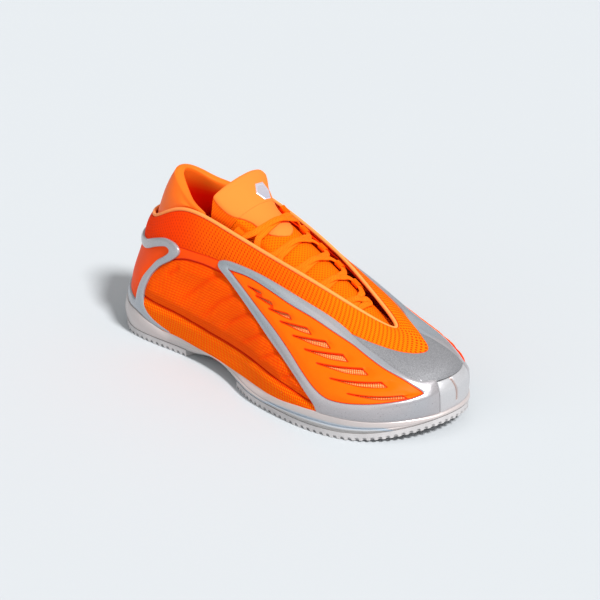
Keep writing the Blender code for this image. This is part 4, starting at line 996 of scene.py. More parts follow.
def build_heel():
    rear = [(1.5, HEM), (1.36, 0.42)] + QUARTER_REAR + [(1.8, 2.72), (1.9, 2.99)]
    top = far_side(edge_between(0.5, 1.9)[::-1]) + edge_between(0, 1.9)
    foot = [(u, HEM) for u in (1.5, 0.75, 0, -0.75, -1.5)]
    panel("heel_insert_smooth", outline([rear[::-1], foot, far_side(rear), top]), LOOKS["smooth"],
          ["heel_insert"], top=0.2, thick=2.3, grid=1.8, rim=0.4,
          relief=lambda u, t, d: 0.6 * smoothstep(2, 9, d))
    half_foot = [(2.02, 0.04), (1.78, 0.03), (1.5, 0.14), (1.2, 0.27), (0.6, 0.27)]
    foot = far_side(half_foot) + [(0, 0.27)] + half_foot[::-1]
    side = CLIP_SIDE + far_side(CLIP_SIDE[-2::-1])
    hole_foot = [(-1.12, 0.56), (-0.5, 0.66), (0, 0.68), (0.5, 0.66), (1.12, 0.56)]
    hole = outline([CLIP_HOLE + far_side(CLIP_HOLE[-2::-1]), hole_foot])
    panel("heel_clip_pearl", outline([side, foot]), LOOKS["pearl"], ["heel_clip"], top=2.1,
          thick=1.8, grid=1.3, rim=0.9, holes=[hole], relief=lambda u, t, d: 0.5 * smoothstep(0.3, 3.5, d))


def build_toe_guard():
    left, right = 5.757, 6.508
    border = outline([[(left, FRAME_HEM), (6.14, FRAME_HEM), (right, FRAME_HEM)],
                      [(right, FRAME_HEM), (right, 1.48)], [(right, 1.48), (6.14, 1.54), (left, 1.575)],
                      [(left, 1.575), (left, FRAME_HEM)]])
    groove = [[(5.975, 1.56), (6.0, 1.2), (6.02, 0.8), (6.015, 0.4)]]

    def relief(u, t, d):
        gaps, _ = line_distance(u, t, groove)[0]
        return 0.4 * smoothstep(0.3, 4, d) - 1.7 * smoothstep(1.0, 1.56, t) - 1.1 * hump(gaps, 0.6)

    # The tone draws a dark line along the groove: painted shade in its recess.
    def tone(u, t, d):
        gaps, _ = line_distance(u, t, groove)[0]
        return 0.8 * hump(gaps, 0.55)

    panel("toe_guard_pearl", border, LOOKS["pearl_sole"], ["toe_guard"], top=2.2, thick=4.2,
          grid=0.6, rim=0.9, relief=relief, tone=tone)


# The toe end of the shroud, where it turns sharply and takes more stations.
TOE_TURN = (5.62, 6.38)
SHROUD_THICK = 2.0
PIPING = (1.3, 1.25)


def build_shroud():
    """The perforated mesh round the throat and collar, from its seam up to the piped edge."""
    dense = np.linspace(0, 12, 1201)
    lengths = lengths_along(periodic(RINGS[-1], dense))
    even = np.interp(np.linspace(0, lengths[-1], 301)[:-1], lengths, dense)
    even = even[(even < TOE_TURN[0] - 0.02) | (even > TOE_TURN[1] + 0.02)]
    u = np.sort(np.concatenate([even, np.linspace(*TOE_TURN, 44)]))
    low = level(smooth_run(SHROUD_EDGE, 1.0), u) - 0.02
    rise = np.sum((surface(u, 4.0) - surface(u, 3.9)) * edge_up(u), axis=1) * 10
    high = 4 - 0.9 / rise
    share = np.linspace(0, 1, 27)
    back = np.linspace(1, 0, 6)
    sections, data = [], []
    arc = np.interp(u, dense, lengths)
    lift = 0.25 + 0.7 * np.sin(math.pi * share) ** 0.7
    for station, bottom, top, along in zip(u, low, high, arc):
        outer = offset(np.full(len(share), station), bottom + (top - bottom) * share, lift)
        inner = offset(np.full(len(back), station), bottom + (top - bottom) * back, -SHROUD_THICK)
        sections.append(np.vstack([outer, inner]))
        gone = lengths_along(outer)
        width = gone[-1]
        run = np.r_[gone, back * width]
        beside = np.r_[np.minimum(gone, width - gone), np.full(len(back), 5.0)]
        data.append(np.stack([np.full(len(run), along), width - run, beside], 1))
    obj = loft("shroud_knit", sections, LOOKS["shroud"], data)
    # The inner wall takes full tone, and so the deep red: painted shade, for orange light bounced round the
    # shaded gap under the piping. The face turns redder towards the heel and lighter towards the toe end.
    near_heel = np.minimum(u, 12 - u)
    redder = 1 - smoothstep(1.4, 3.4, near_heel) - smoothstep(3.4, 5.8, near_heel)
    inner_wall = np.arange(len(share) + len(back)) >= len(share)
    set_tone(obj, np.where(inner_wall[None, :], 1.0, redder[:, None]).ravel())
    finish_piece(obj, ["shroud"])
    centre = offset(u, 4.0, -0.7) + edge_up(u) * 0.35
    piping = tube("shroud_piping_edge", centre, normal(u, 4.0), PIPING, LOOKS["piping"], 14, True, arc)
    finish_piece(piping, ["shroud_piping"])


# ---------------------------------------------------------------- collar, lining and tongue

COLLAR_RIM = [(-103, 0, 121), (-101, 6, 119.6), (-94.5, 11, 116.2), (-85, 15.8, 111.6), (-73, 20.8, 108),
              (-58, 22.5, 103.5)]
COLLAR_END = 2.4
COLLAR_HALF = 3.6


def collar_rim(u):
    rows = [(x, -y, z) for x, y, z in COLLAR_RIM[:0:-1]] + COLLAR_RIM
    x, y, z = through_table(rows, len(COLLAR_RIM) - 1 + u / COLLAR_END * (len(COLLAR_RIM) - 1))
    return np.array([x, -y, z])


def collar_section(u):
    """The collar's section at a station, from its outer foot over the rim to its inner foot."""
    rim = collar_rim(u)
    away = normal([u], 3.6)[0]
    away[2] = 0
    away = unit(away)
    foot_out, under_edge, over_edge, foot_in = [
        offset([u], t, depth)[0] for t, depth in ((3.25, -3.3), (3.75, -3.3), (4.05, -3.1), (3.25, -9.5))]
    half = COLLAR_HALF * (1 - 0.45 * (abs(u) / COLLAR_END) ** 3)
    outer = over_edge * 0.45 + rim * 0.55 + away * (half - 0.8)
    inner = foot_in * 0.45 + rim * 0.55 - away * (half - 0.2)
    top = [rim + away * half * out - np.array([0, 0, drop])
           for out, drop in ((1, 2.6), (0.6, 0.6), (0, 0), (-0.6, 0.6), (-1, 2.8))]
    return np.array([foot_out, under_edge, over_edge, outer, *top, inner, foot_in])


def build_collar():
    stations = np.linspace(-COLLAR_END, COLLAR_END, 150)
    places = np.linspace(0, 11, 56, endpoint=False)
    sections, data = [], []
    for u in stations:
        section = periodic(collar_section(u), places)
        close = smoothstep(0, 0.05, 1 - abs(u) / COLLAR_END)
        middle = section.mean(0)
        sections.append(middle + (section - middle) * (0.35 + 0.65 * math.sqrt(close)))
        data.append(np.stack([np.full(len(places), u * 30), places * 6, np.zeros(len(places))], 1))
    obj = loft("heel_collar_padded", sections, LOOKS["collar"], data, ring=False, sharp=75)
    # Tone over the collar's inner face, below its rim, turns it deep red: painted shade, for orange light
    # bounced round inside the valley.
    depth = smoothstep(8.3, 9.0, places) * (1 - smoothstep(10.3, 10.9, places))
    set_tone(obj, np.tile(depth, len(stations)))
    finish_piece(obj, ["heel_collar"])


def build_bootie():
    u = np.linspace(0, 12, 221)[:-1]
    levels = np.linspace(0.16, 2.95, 26)
    sections, data = [], []
    for station in u:
        s = np.full(len(levels), station)
        inner = offset(s, levels, -6.3)
        outer = offset(s[::3], levels[::-1][::3], -4.7)
        sections.append(np.vstack([inner, outer]))
        a, b = chart(s, levels, 1.5)
        a2, b2 = chart(s[::3], levels[::-1][::3], 1.5)
        data.append(np.stack([np.r_[a, a2], np.r_[b, b2], np.ones(len(a) + len(a2))], 1))
    finish_piece(loft("bootie_lining", sections, LOOKS["lining"], data), ["bootie"])


# The tongue from root to tip: x, z, half width, how far its edges drop, and its shift sideways.
TONGUE = [(84, 54.0, 6.5, 1, 1), (75, 58.8, 8.5, 1.5, 0), (64, 65.5, 10, 2.3, -1.5),
          (50, 73.5, 11.5, 3.5, -2.5), (30, 83, 14, 5, -2), (10, 91.5, 15.5, 6, -1),
          (-11, 100.5, 16.5, 6.5, 0), (-26, 108.5, 17.5, 7, 0), (-36, 115.2, 20.5, 7.2, 0),
          (-44, 121.8, 23, 6.8, 0.5), (-51, 127.2, 24, 6, 1.5)]
FOLD = 0.83
# How far the side wings of the tongue hang down from its edge, along its length.
WING_DOWN = [(0.06, 0.5), (0.3, 6.0), (0.6, 8.0), (0.75, 11.0), (0.83, 14.0), (1.0, 14.0)]
# How far out the wings reach before they hang, and how late they start to fall.
WING_OUT = [(0.0, 1.6), (0.06, 2.2), (0.3, 2.6), (0.72, 2.6), (0.80, 1.6), (1.0, 1.6)]
WING_FALL = [(0.0, 1.1), (0.76, 1.1), (0.83, 1.0), (1.0, 1.0)]
# How much wider the padded top is on its medial side.
MEDIAL_WIDER = [(0.90, 1.0), (0.96, 1.12), (1.0, 1.17)]
WING_THICK = 1.6
TONGUE_THICK = 3.2
PAD_THICK = 8.5
TONGUE_LENGTH = 156.0


def tongue_row(s):
    steps = np.diff(np.array(TONGUE)[:, :2], axis=0)
    lengths = np.r_[0, np.cumsum(np.hypot(*steps.T))]
    return through_table(TONGUE, np.interp(s * lengths[-1], lengths, np.arange(len(TONGUE))))


def tongue_facing(s):
    x0, z0 = tongue_row(max(s - 0.02, 0))[:2]
    x1, z1 = tongue_row(min(s + 0.02, 1))[:2]
    along = unit(np.array([x1 - x0, 0, z1 - z0]))
    return np.array([along[2], 0, -along[0]])


def sideways_at(s, half, v):
    """How far across v reaches at s, in millimetres."""
    return half * v * np.where(np.asarray(v) > 0, level(MEDIAL_WIDER, s), 1.0)


def tongue_point(s, v, depth=0.0):
    """A point on the tongue's face: v is -1 at the lateral edge and 1 at the medial edge."""
    x, z, half, drop, middle = tongue_row(s)
    face = tongue_facing(s)
    out = unit(face + np.array([0, 2 * drop * v / half, 0]))
    base = np.array([x, middle + sideways_at(s, half, v), z]) - face * drop * v * v
    return base - out * depth


def tongue_normal(s, v):
    return unit(tongue_point(s, v, -1.0) - tongue_point(s, v, 0.0))


def winged_row(s, spread, depths):
    """Points across the tongue at s; past |v| = 1 they follow the side wing that turns down."""
    x, z, half, drop, middle = tongue_row(s)
    face = tongue_facing(s)
    down, out_by, fall = [float(level(line, s)) for line in (WING_DOWN, WING_OUT, WING_FALL)]
    spread = np.asarray(spread, float)
    over = np.clip(np.abs(spread) - 1, 0, None)
    flat = np.clip(spread, -1, 1)
    turn = np.clip(over / 0.3, 0, 1)
    slope = 2 * drop * flat / half * (1 - turn) + 4 * turn * np.sign(spread)
    out = unit(face + np.stack([0 * slope, slope, 0 * slope], 1))
    reached = 1 - (1 - np.clip(over / 0.8, 0, 1)) ** 2
    sideways = middle + sideways_at(s, half, flat) + np.sign(spread) * out_by * reached
    base = np.stack([np.full(len(spread), x), sideways, np.full(len(spread), z)], 1)
    base = base - face * (drop * flat ** 2 + down * over ** fall)[:, None]
    return base - out * np.asarray(depths)[:, None]


def build_tongue():
    sections, data = [], []
    across = np.r_[np.linspace(-2, -1.3, 7), np.linspace(-1.2, 1.2, 45), np.linspace(1.3, 2, 7)]
    thick = np.interp(np.abs(across), (0.75, 1.15), (TONGUE_THICK, WING_THICK))
    for s in np.linspace(0, FOLD - 0.0015, 130):
        half = tongue_row(s)[2]
        crown = 0.5 * np.clip(1 - across ** 2, 0, 1) * min(1, s * 8)
        face = winged_row(s, across, -crown)
        back = winged_row(s, across[::-1], thick[::-1])
        sections.append(np.vstack([face, back]))
        v = np.r_[across, across[::-1]]
        data.append(np.stack([np.full(len(v), s * TONGUE_LENGTH), v * half, np.ones(len(v))], 1))
    obj = loft("tongue_body_mesh", sections, LOOKS["tongue"], data, ring=False)
    finish_piece(obj, ["tongue_body"], "tongue")


def rounded(a):
    return np.sqrt(np.clip(1 - np.clip(np.abs(a), 0, 1) ** 2.6, 0, None))


# The pad's top edge: how far along the tongue it reaches at each place across.
PAD_TOP = [(-2.1, 0.905), (-1.6, 0.93), (-1.25, 0.956), (-1.0, 0.972), (-0.6, 0.983), (0, 0.993), (0.4, 1.0),
           (0.75, 0.998), (0.95, 0.98), (1.1, 0.94), (1.3, 0.895), (1.6, 0.868), (2.1, 0.855)]
# Half width of the lobe below the fold, along the tongue.
LOBE_ROWS = [(0.63, 0.05), (0.637, 0.24), (0.655, 0.46), (0.68, 0.62), (0.71, 0.71), (0.74, 0.75),
             (0.77, 0.77), (0.79, 0.80), (0.81, 0.86), (FOLD, 0.94)]
# Half width of the smooth shield on the pad, along the tongue. Past it the side is mesh.
SHIELD = [(FOLD, 0.94), (0.85, 1.02), (0.88, 1.09), (0.92, 1.12), (0.98, 1.12), (1.0, 1.12)]


def pad_end(top, s):
    """Rounding of the pad's thickness towards its top edge, from 1 to 0."""
    near = np.clip((top - s) * TONGUE_LENGTH / 4.5, 0, 1)
    return np.sqrt(np.clip(1 - (1 - near) ** 2, 0.02, 1))


def finish_pad(obj, node):
    """Bake the pad's transform into its mesh and hide its CAD node. The points found either side of the fold
    are not used.
    """
    start, end = [(Vector(tongue_point(FOLD + d, 0) + SHIFT) * MM) for d in (-0.035, 0.035)]
    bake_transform(obj)
    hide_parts(node)


def build_tongue_pads():
    """The padded top above the fold, and the lobe below it under the laces."""
    sections, data = [], []
    unit_run = np.sin(np.linspace(-math.pi / 2, math.pi / 2, 81))
    for s in np.linspace(0.63, FOLD - 0.0008, 48):
        width = float(level(LOBE_ROWS, s))
        half = tongue_row(s)[2]
        v = unit_run * width
        rise = math.sqrt(max(0.01, min(1.0, (s - 0.63) / 0.04)))
        lift = 0.22 + 2.1 * rounded(v / width) * rise
        face = winged_row(s, v, -lift)
        back = winged_row(s, v[::-1], np.full(len(v), -0.15))
        sections.append(np.vstack([face, back[1:-1]]))
        edge = (width - np.abs(v)) * half
        both, beside = np.r_[v, v[::-1][1:-1]], np.r_[edge, edge[::-1][1:-1]]
        data.append(np.stack([np.full(len(both), s * TONGUE_LENGTH), both * half, beside], 1))
    lobe = loft("tongue_pad_lobe", sections, LOOKS["pad"], data, ring=False, sharp=75)
    finish_pad(lobe, "tongue_pad_lower")
    sections, data = [], []
    v = unit_run * 2.1
    top = through_line(PAD_TOP, v)
    for k in np.r_[np.linspace(0, 0.9, 46), np.linspace(0.91, 1.0, 12)]:
        row = FOLD + k * (top - FOLD)
        end = pad_end(top, row)
        shield = level(SHIELD, row)
        half = np.array([tongue_row(s)[2] for s in row])
        edge = (shield - np.abs(v)) * half
        lift = 0.25 + 2.1 * rounded(v / shield) * end
        start = smoothstep(FOLD - 0.001, FOLD + 0.02, row)
        depth = (0.3 + (PAD_THICK - 1.8) * rounded(unit_run) * end) * start + 0.3
        face = np.vstack([winged_row(s, [a], [-b]) for s, a, b in zip(row, v, lift)])
        back = np.vstack([winged_row(s, [a], [b]) for s, a, b in zip(row, v, depth)])[::-1]
        sections.append(np.vstack([face, back[1:-1]]))
        full = np.stack([row * TONGUE_LENGTH, v * half, edge], 1)
        data.append(np.vstack([full, full[::-1][1:-1]]))
    obj = loft("tongue_pad_padded", sections, LOOKS["pad"], data, ring=False, sharp=75)
    finish_pad(obj, "tongue_pad")


# The badge: its centre on the tongue (s, v) and its reach along each, then its rings from outside to
# inside: their size and height off the tongue.
BADGE = (0.884, 0.4, 0.05, 0.33)
BADGE_RINGS = ((1.0, 2.2), (1.0, 2.95), (0.94, 3.25), (0.80, 3.25), (0.74, 3.0))


def build_badge():
    """A plain six-sided badge with a bevelled edge and a raised rim."""
    s, v, tall, wide = BADGE
    corners = [math.pi / 3 * k for k in range(6)]
    sections = [[tongue_point(s + tall * size * math.sin(a), v + wide * size * math.cos(a), -height)
                 for a in corners] for size, height in BADGE_RINGS]
    obj = loft("tongue_badge_plain", sections, LOOKS["badge"], ring=False, sharp=20)
    finish_piece(obj, ["tongue_badge"], "tongue_top")


# ---------------------------------------------------------------- lacing

# Where the rows of loops lie along the tongue, and how far across the lace turns there.
ROWS = (0.27, 0.395, 0.52, 0.645, 0.775)
BAR = 0.16
REACH = (0.80, 0.92, 1.00, 1.04, 1.00)
LATERAL_REACH = 0.22
ROW_MARGIN = 0.045
# The lace's height off the tongue: at its turns, between them, and the extra over the lobe and a crossing.
LACE_LIFT = 3.2
LACE_LOW = 1.6
PAD_LIFT = 2.2
CROSSING = 2.0
LACE_HALF = (2.35, 0.75)


def lift_at(s):
    return PAD_LIFT * float(np.clip((s - 0.62) / 0.06, 0, 1))


def reach(row, side):
    """How far across the tongue the lace turns: further on the lateral side, under the piped edge."""
    return REACH[row] + (LATERAL_REACH if side < 0 else 0.0)


def loop_place(row, side):
    s = ROWS[row]
    ends = [tongue_point(s + d, side * reach(row, side), -LACE_LIFT) for d in (-0.02, 0.02)]
    return (ends[0] + ends[1]) / 2, unit(ends[1] - ends[0])


def anchor(turn, side):
    u = np.linspace(2.6, 5.3, 120) if side < 0 else np.linspace(6.7, 9.4, 120)
    points = offset(u, 3.6, -6.6)
    return points[int(np.argmin(np.abs(points[:, 0] - turn[0])))]


def strand(start, end, reaches, side, over):
    points = []
    for f in np.linspace(0.1, 0.9, 9):
        s = start + (end - start) * f
        v = side * (reaches[0] * (1 - f) - reaches[1] * f)
        bump = CROSSING * hump(f - 0.5, 0.16) if over else 0.0
        lift = LACE_LOW + (LACE_LIFT - LACE_LOW) * (1 - 2 * f) ** 2 + lift_at(s) + bump
        points.append((tongue_point(s, v, -lift), tongue_normal(s, np.clip(v, -1, 1))))
    return points


def build_lace():
    halves = []
    for first in (-1, 1):
        points = strand(BAR + 0.015, ROWS[0] - ROW_MARGIN, (0.7, reach(0, first)), -first, over=first < 0)
        side = first
        for row, s in enumerate(ROWS):
            turn, along = loop_place(row, side)
            up = tongue_normal(s, side * 0.8)
            points += [(turn - along * 3.6, up), (turn + along * 3.6, up)]
            if row < len(ROWS) - 1:
                over = (first < 0) == (row % 2 == 1)
                reaches = (reach(row, side), reach(row + 1, -side))
                points += strand(s + ROW_MARGIN, ROWS[row + 1] - ROW_MARGIN, reaches, side, over)
                side = -side
        halves.append(points)
    bar = [(tongue_point(BAR, 0.65 * side, -LACE_LOW), tongue_normal(BAR, 0.65 * side))
           for side in np.linspace(-1, 1, 7)]
    path = halves[1][::-1] + bar + halves[0]
    both = np.array([np.r_[p, n] for p, n in path])
    run = smooth_run(both, 0.8, np.array([1, 1, 1, 0, 0, 0]))
    obj = tube("lace_flat", run[:, :3], run[:, 3:], LACE_HALF, LOOKS["lace"], 14, False, squareness=2.8)
    finish_piece(obj, ["lace"])


# The loops: half their width, and the radii of the webbing's two faces where it turns round the lace.
LOOP_HALF = 3.1
LOOP_RADII = (1.2, 2.05)


def loop_path(tail):
    """The webbing seen end on: folded round the lace, its two tails lying together."""
    inner, outer = LOOP_RADII
    turn = np.linspace(1.5, -1.5, 13)
    path = [(tail, 0.15), (tail * 0.5, 0.5)]
    path += [(-inner * math.cos(a), inner * math.sin(a)) for a in turn]
    path += [(tail * 0.5, -0.5), (tail, -0.15), (tail, -0.9), (tail * 0.5, -1.35)]
    path += [(-outer * math.cos(a), outer * math.sin(a)) for a in turn[::-1]]
    return path + [(tail * 0.5, 1.35), (tail, 0.9)]


def build_loop(label, side, row):
    turn, along = loop_place(row, side)
    way = anchor(turn, side) - turn
    way -= along * float(way @ along)
    tail = float(np.linalg.norm(way))
    outward = way / tail
    up = unit(np.cross(along, outward))
    path = loop_path(tail)
    run = lengths_along(np.array(path))
    sections, data = [], []
    for shift in np.linspace(-LOOP_HALF, LOOP_HALF, 9):
        sections.append([turn + outward * p + up * q + along * shift for p, q in path])
        beside = LOOP_HALF + 0.1 - abs(shift)
        data.append(np.stack([run, np.full(len(run), shift), np.full(len(run), beside)], 1))
    obj = loft(f"lace_loop_{label}_{row + 1}_webbing", sections, LOOKS["loop"], data, ring=False)
    finish_piece(obj, [f"lace_loop_{label}_{row + 1}"])


def build_loops():
    for side, label in ((-1, "lateral"), (1, "medial")):
        for row in range(len(ROWS)):
            build_loop(label, side, row)


# ---------------------------------------------------------------- sole

GROUND_FLAT = (-118.0, 86.0)
TOE_SPRING = 9.0
HEEL_BEVEL = 3.5
OUTSOLE_THICK = 4.8
ARCH = (-64.0, -4.0)
ARCH_RISE = 4.5
POD_GAP = 0.7


def ground(x):
    x = np.asarray(x, float)
    toe = np.clip((x - GROUND_FLAT[1]) / 52, 0, None) ** 2 * TOE_SPRING
    heel = np.clip((GROUND_FLAT[0] - x) / 26, 0, None) ** 2 * HEEL_BEVEL
    return toe + heel


def midsole_under(x):
    x = np.asarray(x, float)
    f = np.clip((x - ARCH[0]) / (ARCH[1] - ARCH[0]), 0, 1)
    return ground(x) + OUTSOLE_THICK + POD_GAP + ARCH_RISE * np.sin(math.pi * f) ** 2


def sole_point(u, out):
    base = periodic(RINGS[0], u)
    along = periodic(RINGS[0], np.asarray(u) + 0.02) - periodic(RINGS[0], np.asarray(u) - 0.02)
    away = unit(np.stack([along[:, 1], -along[:, 0], 0 * along[:, 0]], 1))
    return base + away * np.broadcast_to(out, len(base))[:, None]


# Ring height t of the midsole's upper edge: a low rim, higher round the heel and beside the ball.
RIM = [(0, 0.29), (1.2, 0.29), (1.75, 0.03), (3.7, 0.03), (3.95, 0.09), (4.2, 0.21), (4.42, 0.28),
       (4.7, 0.26), (5.07, 0.19), (5.4, 0.11), (5.7, 0.04), (6.53, 0.04), (6.75, 0.11), (6.95, 0.19),
       (7.3, 0.26), (7.58, 0.28), (7.8, 0.21), (8.05, 0.09), (8.3, 0.03), (10.25, 0.03), (10.8, 0.29),
       (12, 0.29)]
OUTRIGGER = (3.45, 0.35, 3.0)


def outrigger(u):
    """How far the sole flares out at the ground, beside the ball of the foot on the lateral side."""
    centre, spread, reach = OUTRIGGER
    return reach * hump(np.asarray(u, float) - centre, spread)


def at_height(points, z):
    out = points.copy()
    out[:, 2] = z
    return out


# The sidewall from heel to toe: where up its height the groove runs, and how far its rim stands out.
GROOVE_LINE = [(0, 0.50), (1.3, 0.50), (2.6, 0.55), (3.0, 0.62), (3.5, 0.50), (4.4, 0.42), (5.4, 0.42),
               (6, 0.45)]
CROWN_OUT = [(0, 2.7), (1.9, 2.7), (2.3, 1.6), (3.3, 1.6), (3.7, 2.5), (6, 2.7)]
SIDEWALL_ROWS = 41


def build_midsole():
    """The foam unit, its wall sculpted with a long groove and a crease above the outsole."""
    half = np.linspace(0, 6, 161)
    columns = np.concatenate([half, 12 - half[-2:0:-1]])
    count = len(columns)
    foot = sole_point(columns, 2.0 + outrigger(columns))
    low = at_height(foot, midsole_under(foot[:, 0]) - 0.5)
    top_t = level(RIM, columns)
    side = np.minimum(columns, 12 - columns)
    crown = offset(columns, top_t, level(CROWN_OUT, side))
    inner_top = offset(columns, top_t, 0.5)
    belly = sole_point(columns, 3.4 + 0.8 * outrigger(columns))
    belly = at_height(belly, 0.5 * crown[:, 2] + 0.5 * low[:, 2])
    floor = sole_point(columns, 0.8)
    floor = at_height(floor, periodic(RINGS[0], columns)[:, 2] - 0.9)
    floor[:, :2] = np.where((top_t > 0.1)[:, None], floor[:, :2], inner_top[:, :2])
    outward = unit(sole_point(columns, 1.0) - sole_point(columns, 0.0))
    tall = smoothstep(4.0, 8.0, crown[:, 2] - low[:, 2])
    line = level(GROOVE_LINE, side)
    tall = tall * smoothstep(1.7, 3.0, side)
    wall, levels = [], np.linspace(0, 1, SIDEWALL_ROWS)
    for w in levels:
        a, b, c = (1 - w) ** 2, 2 * w * (1 - w), w * w
        place = low * a + (2 * belly - 0.5 * low - 0.5 * crown) * b + crown * c
        groove = -0.75 * hump(w - line, 0.055) + 0.45 * hump(w - line + 0.16, 0.10)
        crease = -0.35 * hump(w - 0.12, 0.03)
        wall.append(place + outward * ((groove + crease) * tall)[:, None])
    rings = wall + [crown * 0.7 + inner_top * 0.3 + np.array([0, 0, 0.35]),
                    crown * 0.3 + inner_top * 0.7 + np.array([0, 0, 0.4]), inner_top, floor]
    points = np.vstack(rings)
    faces = stack_faces(len(rings), count)
    for first, flip in ((0, True), ((len(rings) - 1) * count, False)):
        for k in range(len(half) - 1):
            face = list(dict.fromkeys([first + k, first + k + 1, first + (count - k - 1) % count,
                                       first + (count - k) % count]))
            faces.append(face[::-1] if flip else face)
    heights = np.r_[levels, 1, 1, 1, 1]
    beside = np.concatenate([(w - line) * tall + (1 - tall) for w in heights])
    data = np.stack([np.tile(columns * 45, len(rings)), np.repeat(heights, count), beside], 1)
    finish_piece(mesh_object("midsole_foam", points, faces, LOOKS["sidewall"], data, 45),
                 ["midsole"])


TOOTH_PITCH = 5.0
TOOTH_SAMPLES = 12
NOTCH_DEPTH = 1.6
POD_OUT = 2.4
# Outsole wall: share of its height, and half width of the notch there as a share of the pitch.
TOOTH_LEVELS = [(1.0, 0), (0.8, 0), (0.6, 0), (0.42, 0), (0.38, 0.05), (0.33, 0.13), (0.24, 0.19),
                (0.12, 0.22), (0.0, 0.23)]


def build_pod(name, start_u, end_u, bulge, node):
    """An outsole pod: a notched edge along the sole and a herringbone tread below."""
    u = np.linspace(start_u, end_u, 1600)
    lengths = lengths_along(sole_point(u, POD_OUT + outrigger(u))[:, :2])
    teeth = int(lengths[-1] / TOOTH_PITCH)
    stations = np.interp(np.linspace(0, lengths[-1], teeth * TOOTH_SAMPLES + 1), lengths, u)
    phase = (np.arange(len(stations)) % TOOTH_SAMPLES) / TOOTH_SAMPLES
    ends = sole_point(stations[[0, -1]], POD_OUT)[:, :2]
    share = np.linspace(0, 1, 60)[1:-1, None]
    across = ends[1] * (1 - share) + ends[0] * share
    across[:, 0] += bulge * np.sin(math.pi * share[:, 0])
    rows = []
    for height, half_width in TOOTH_LEVELS:
        cut = 1 - smoothstep(half_width - 0.03, half_width + 0.05, np.abs(phase - 0.5)) if half_width else 0
        out = POD_OUT + outrigger(stations) - NOTCH_DEPTH * cut
        loop = np.vstack([sole_point(stations, out)[:, :2], across])
        rows.append(np.column_stack([loop, ground(loop[:, 0]) + OUTSOLE_THICK * height]))
    size = len(rows[0])
    faces = stack_faces(len(rows), size)
    points = np.vstack(rows)
    for row, grid, tread in ((len(rows) - 1, 1.15, True), (0, 9.0, False)):
        loop = rows[row][:, :2]
        marks = dense_loop(loop, 0.8)
        inner = hex_grid(loop.min(0), loop.max(0), grid)
        inner = inner[inside(inner, loop) & (distance_to(inner, marks) > grid * 0.7)]
        flat, found, ids = triangulate([loop], inner)
        z = ground(flat[:, 0]) + (0 if tread else OUTSOLE_THICK)
        if tread:
            z = z + herringbone(flat) * smoothstep(1.6, 3.0, distance_to(flat, marks))
        remap = np.arange(len(flat)) + len(points)
        remap[ids] = row * size + np.arange(size)
        points = np.vstack([points, np.column_stack([flat, z])])
        faces += [tuple(remap[list(face)]) for face in found]
    used = np.unique(np.concatenate([np.array(face) for face in faces]))
    new = np.full(len(points), -1)
    new[used] = np.arange(len(used))
    faces = [tuple(new[list(face)]) for face in faces]
    obj = mesh_object(name, points[used], faces, LOOKS["rubber"], points[used], 30)
    finish_piece(obj, [node])


def herringbone(flat):
    """Depth of the tread's grooves, which run in zigzags across the sole."""
    zigzag = np.abs(((flat[:, 1] + 4) / 16.0) % 1 - 0.5) * 16.0
    wave = ((flat[:, 0] + zigzag * 1.1) / 5.2) % 1
    return 1.3 * (1 - smoothstep(0.20, 0.34, 0.5 - np.abs(wave - 0.5)))


def keep_hidden_nodes():
    looks = {"strobel_board": "board", "sockliner": "sock", "heel_counter": "board", "toe_puff": "board",
             "eyestay_lateral": "eyestay", "eyestay_medial": "eyestay", "midfoot_shank": "shank",
             "size_label": "board"}
    for name, look in looks.items():
        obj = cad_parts[name]
        obj.data.materials.clear()
        obj.data.materials.append(LOOKS[look])


# ---------------------------------------------------------------- stage

CAMERA_AZIMUTH = 42.1
CAMERA_ELEVATION = 25.2
CAMERA_TARGET = Vector((0.0055, 0.0100, 0.050))
CAMERA_DISTANCE = 1.8
CAMERA_LENS = 160
SKY_STRENGTH = 0.58


def direction(azimuth, elevation):
    """A unit vector, from degrees round from the X axis and degrees above the ground."""
    azimuth, elevation = math.radians(azimuth), math.radians(elevation)
    flat = math.cos(elevation)
    return Vector((math.cos(azimuth) * flat, math.sin(azimuth) * flat, math.sin(elevation)))


def place_facing(name, data, back, location=(0, 0, 0)):
    """Put a camera or light in the scene, looking away from the back direction."""
    obj = bpy.data.objects.new(name, data)
    bpy.context.scene.collection.objects.link(obj)
    obj.location = location
    obj.rotation_mode = "QUATERNION"
    obj.rotation_quaternion = back.to_track_quat("Z", "Y")
    return obj


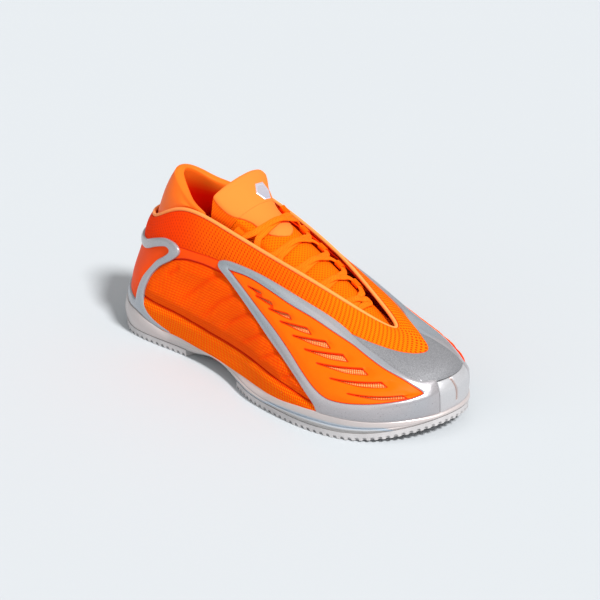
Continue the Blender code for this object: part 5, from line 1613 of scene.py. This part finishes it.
def build_floor():
    bpy.ops.mesh.primitive_plane_add(size=16, location=(0, 0, -0.0002))
    floor = bpy.context.object
    floor.name = "floor"
    look = Look("floor_paper", Roughness=0.9, Specular_IOR_Level=0.1)
    look.colour(look.mix(look.noise(3, 2), rgb(0.535, 0.56, 0.58), rgb(0.54, 0.565, 0.585)))
    floor.data.materials.append(look.material)


def build_camera():
    data = bpy.data.cameras.new("camera")
    data.lens = CAMERA_LENS
    data.sensor_width = 36
    data.clip_end = 100
    back = direction(CAMERA_AZIMUTH - 90, CAMERA_ELEVATION)
    bpy.context.scene.camera = place_facing("camera", data, back, CAMERA_TARGET + back * CAMERA_DISTANCE)


def build_sun(name, energy, spread, back):
    sun = bpy.data.lights.new(name, "SUN")
    sun.energy = energy
    sun.angle = math.radians(spread)
    place_facing(name, sun, back)


def build_sky():
    """The studio's light: dimmer at the horizon than above."""
    world = bpy.data.worlds.new("studio")
    bpy.context.scene.world = world
    world.use_nodes = True
    tree = world.node_tree
    shade = tree.nodes["Background"]
    place = tree.nodes.new("ShaderNodeTexCoord")
    split = tree.nodes.new("ShaderNodeSeparateXYZ")
    ramp = tree.nodes.new("ShaderNodeValToRGB")
    tree.links.new(place.outputs["Generated"], split.inputs[0])
    tree.links.new(split.outputs[2], ramp.inputs[0])
    tree.links.new(ramp.outputs[0], shade.inputs[0])
    stops = ((0.0, rgb(0.47, 0.48, 0.49)), (0.7, rgb(0.88, 0.885, 0.89)))
    for element, (position, colour) in zip(ramp.color_ramp.elements, stops):
        element.position = position
        element.color = colour
    shade.inputs[1].default_value = SKY_STRENGTH


def build_stage():
    build_floor()
    build_camera()
    build_sun("key", 4.1, 9, direction(-12, 48))
    build_sun("fill", 0.7, 70, Vector((0.05, -0.9, 0.35)))
    build_sky()
    bpy.context.scene.view_settings.view_transform = "Standard"


build_stage()
build_quarters()
build_bands()
build_straps()
build_vent_meshes()
build_toe_panel()
build_wings()
build_heel()
build_toe_guard()
build_shroud()
build_collar()
build_bootie()
build_tongue()
build_tongue_pads()
build_badge()
build_lace()
build_loops()
build_midsole()
build_pod("outsole_forefoot_rubber", 3.13, 8.95, -9.0, "outsole_forefoot")
build_pod("outsole_heel_rubber", 9.85, 14.15, 7.0, "outsole_heel")
keep_hidden_nodes()
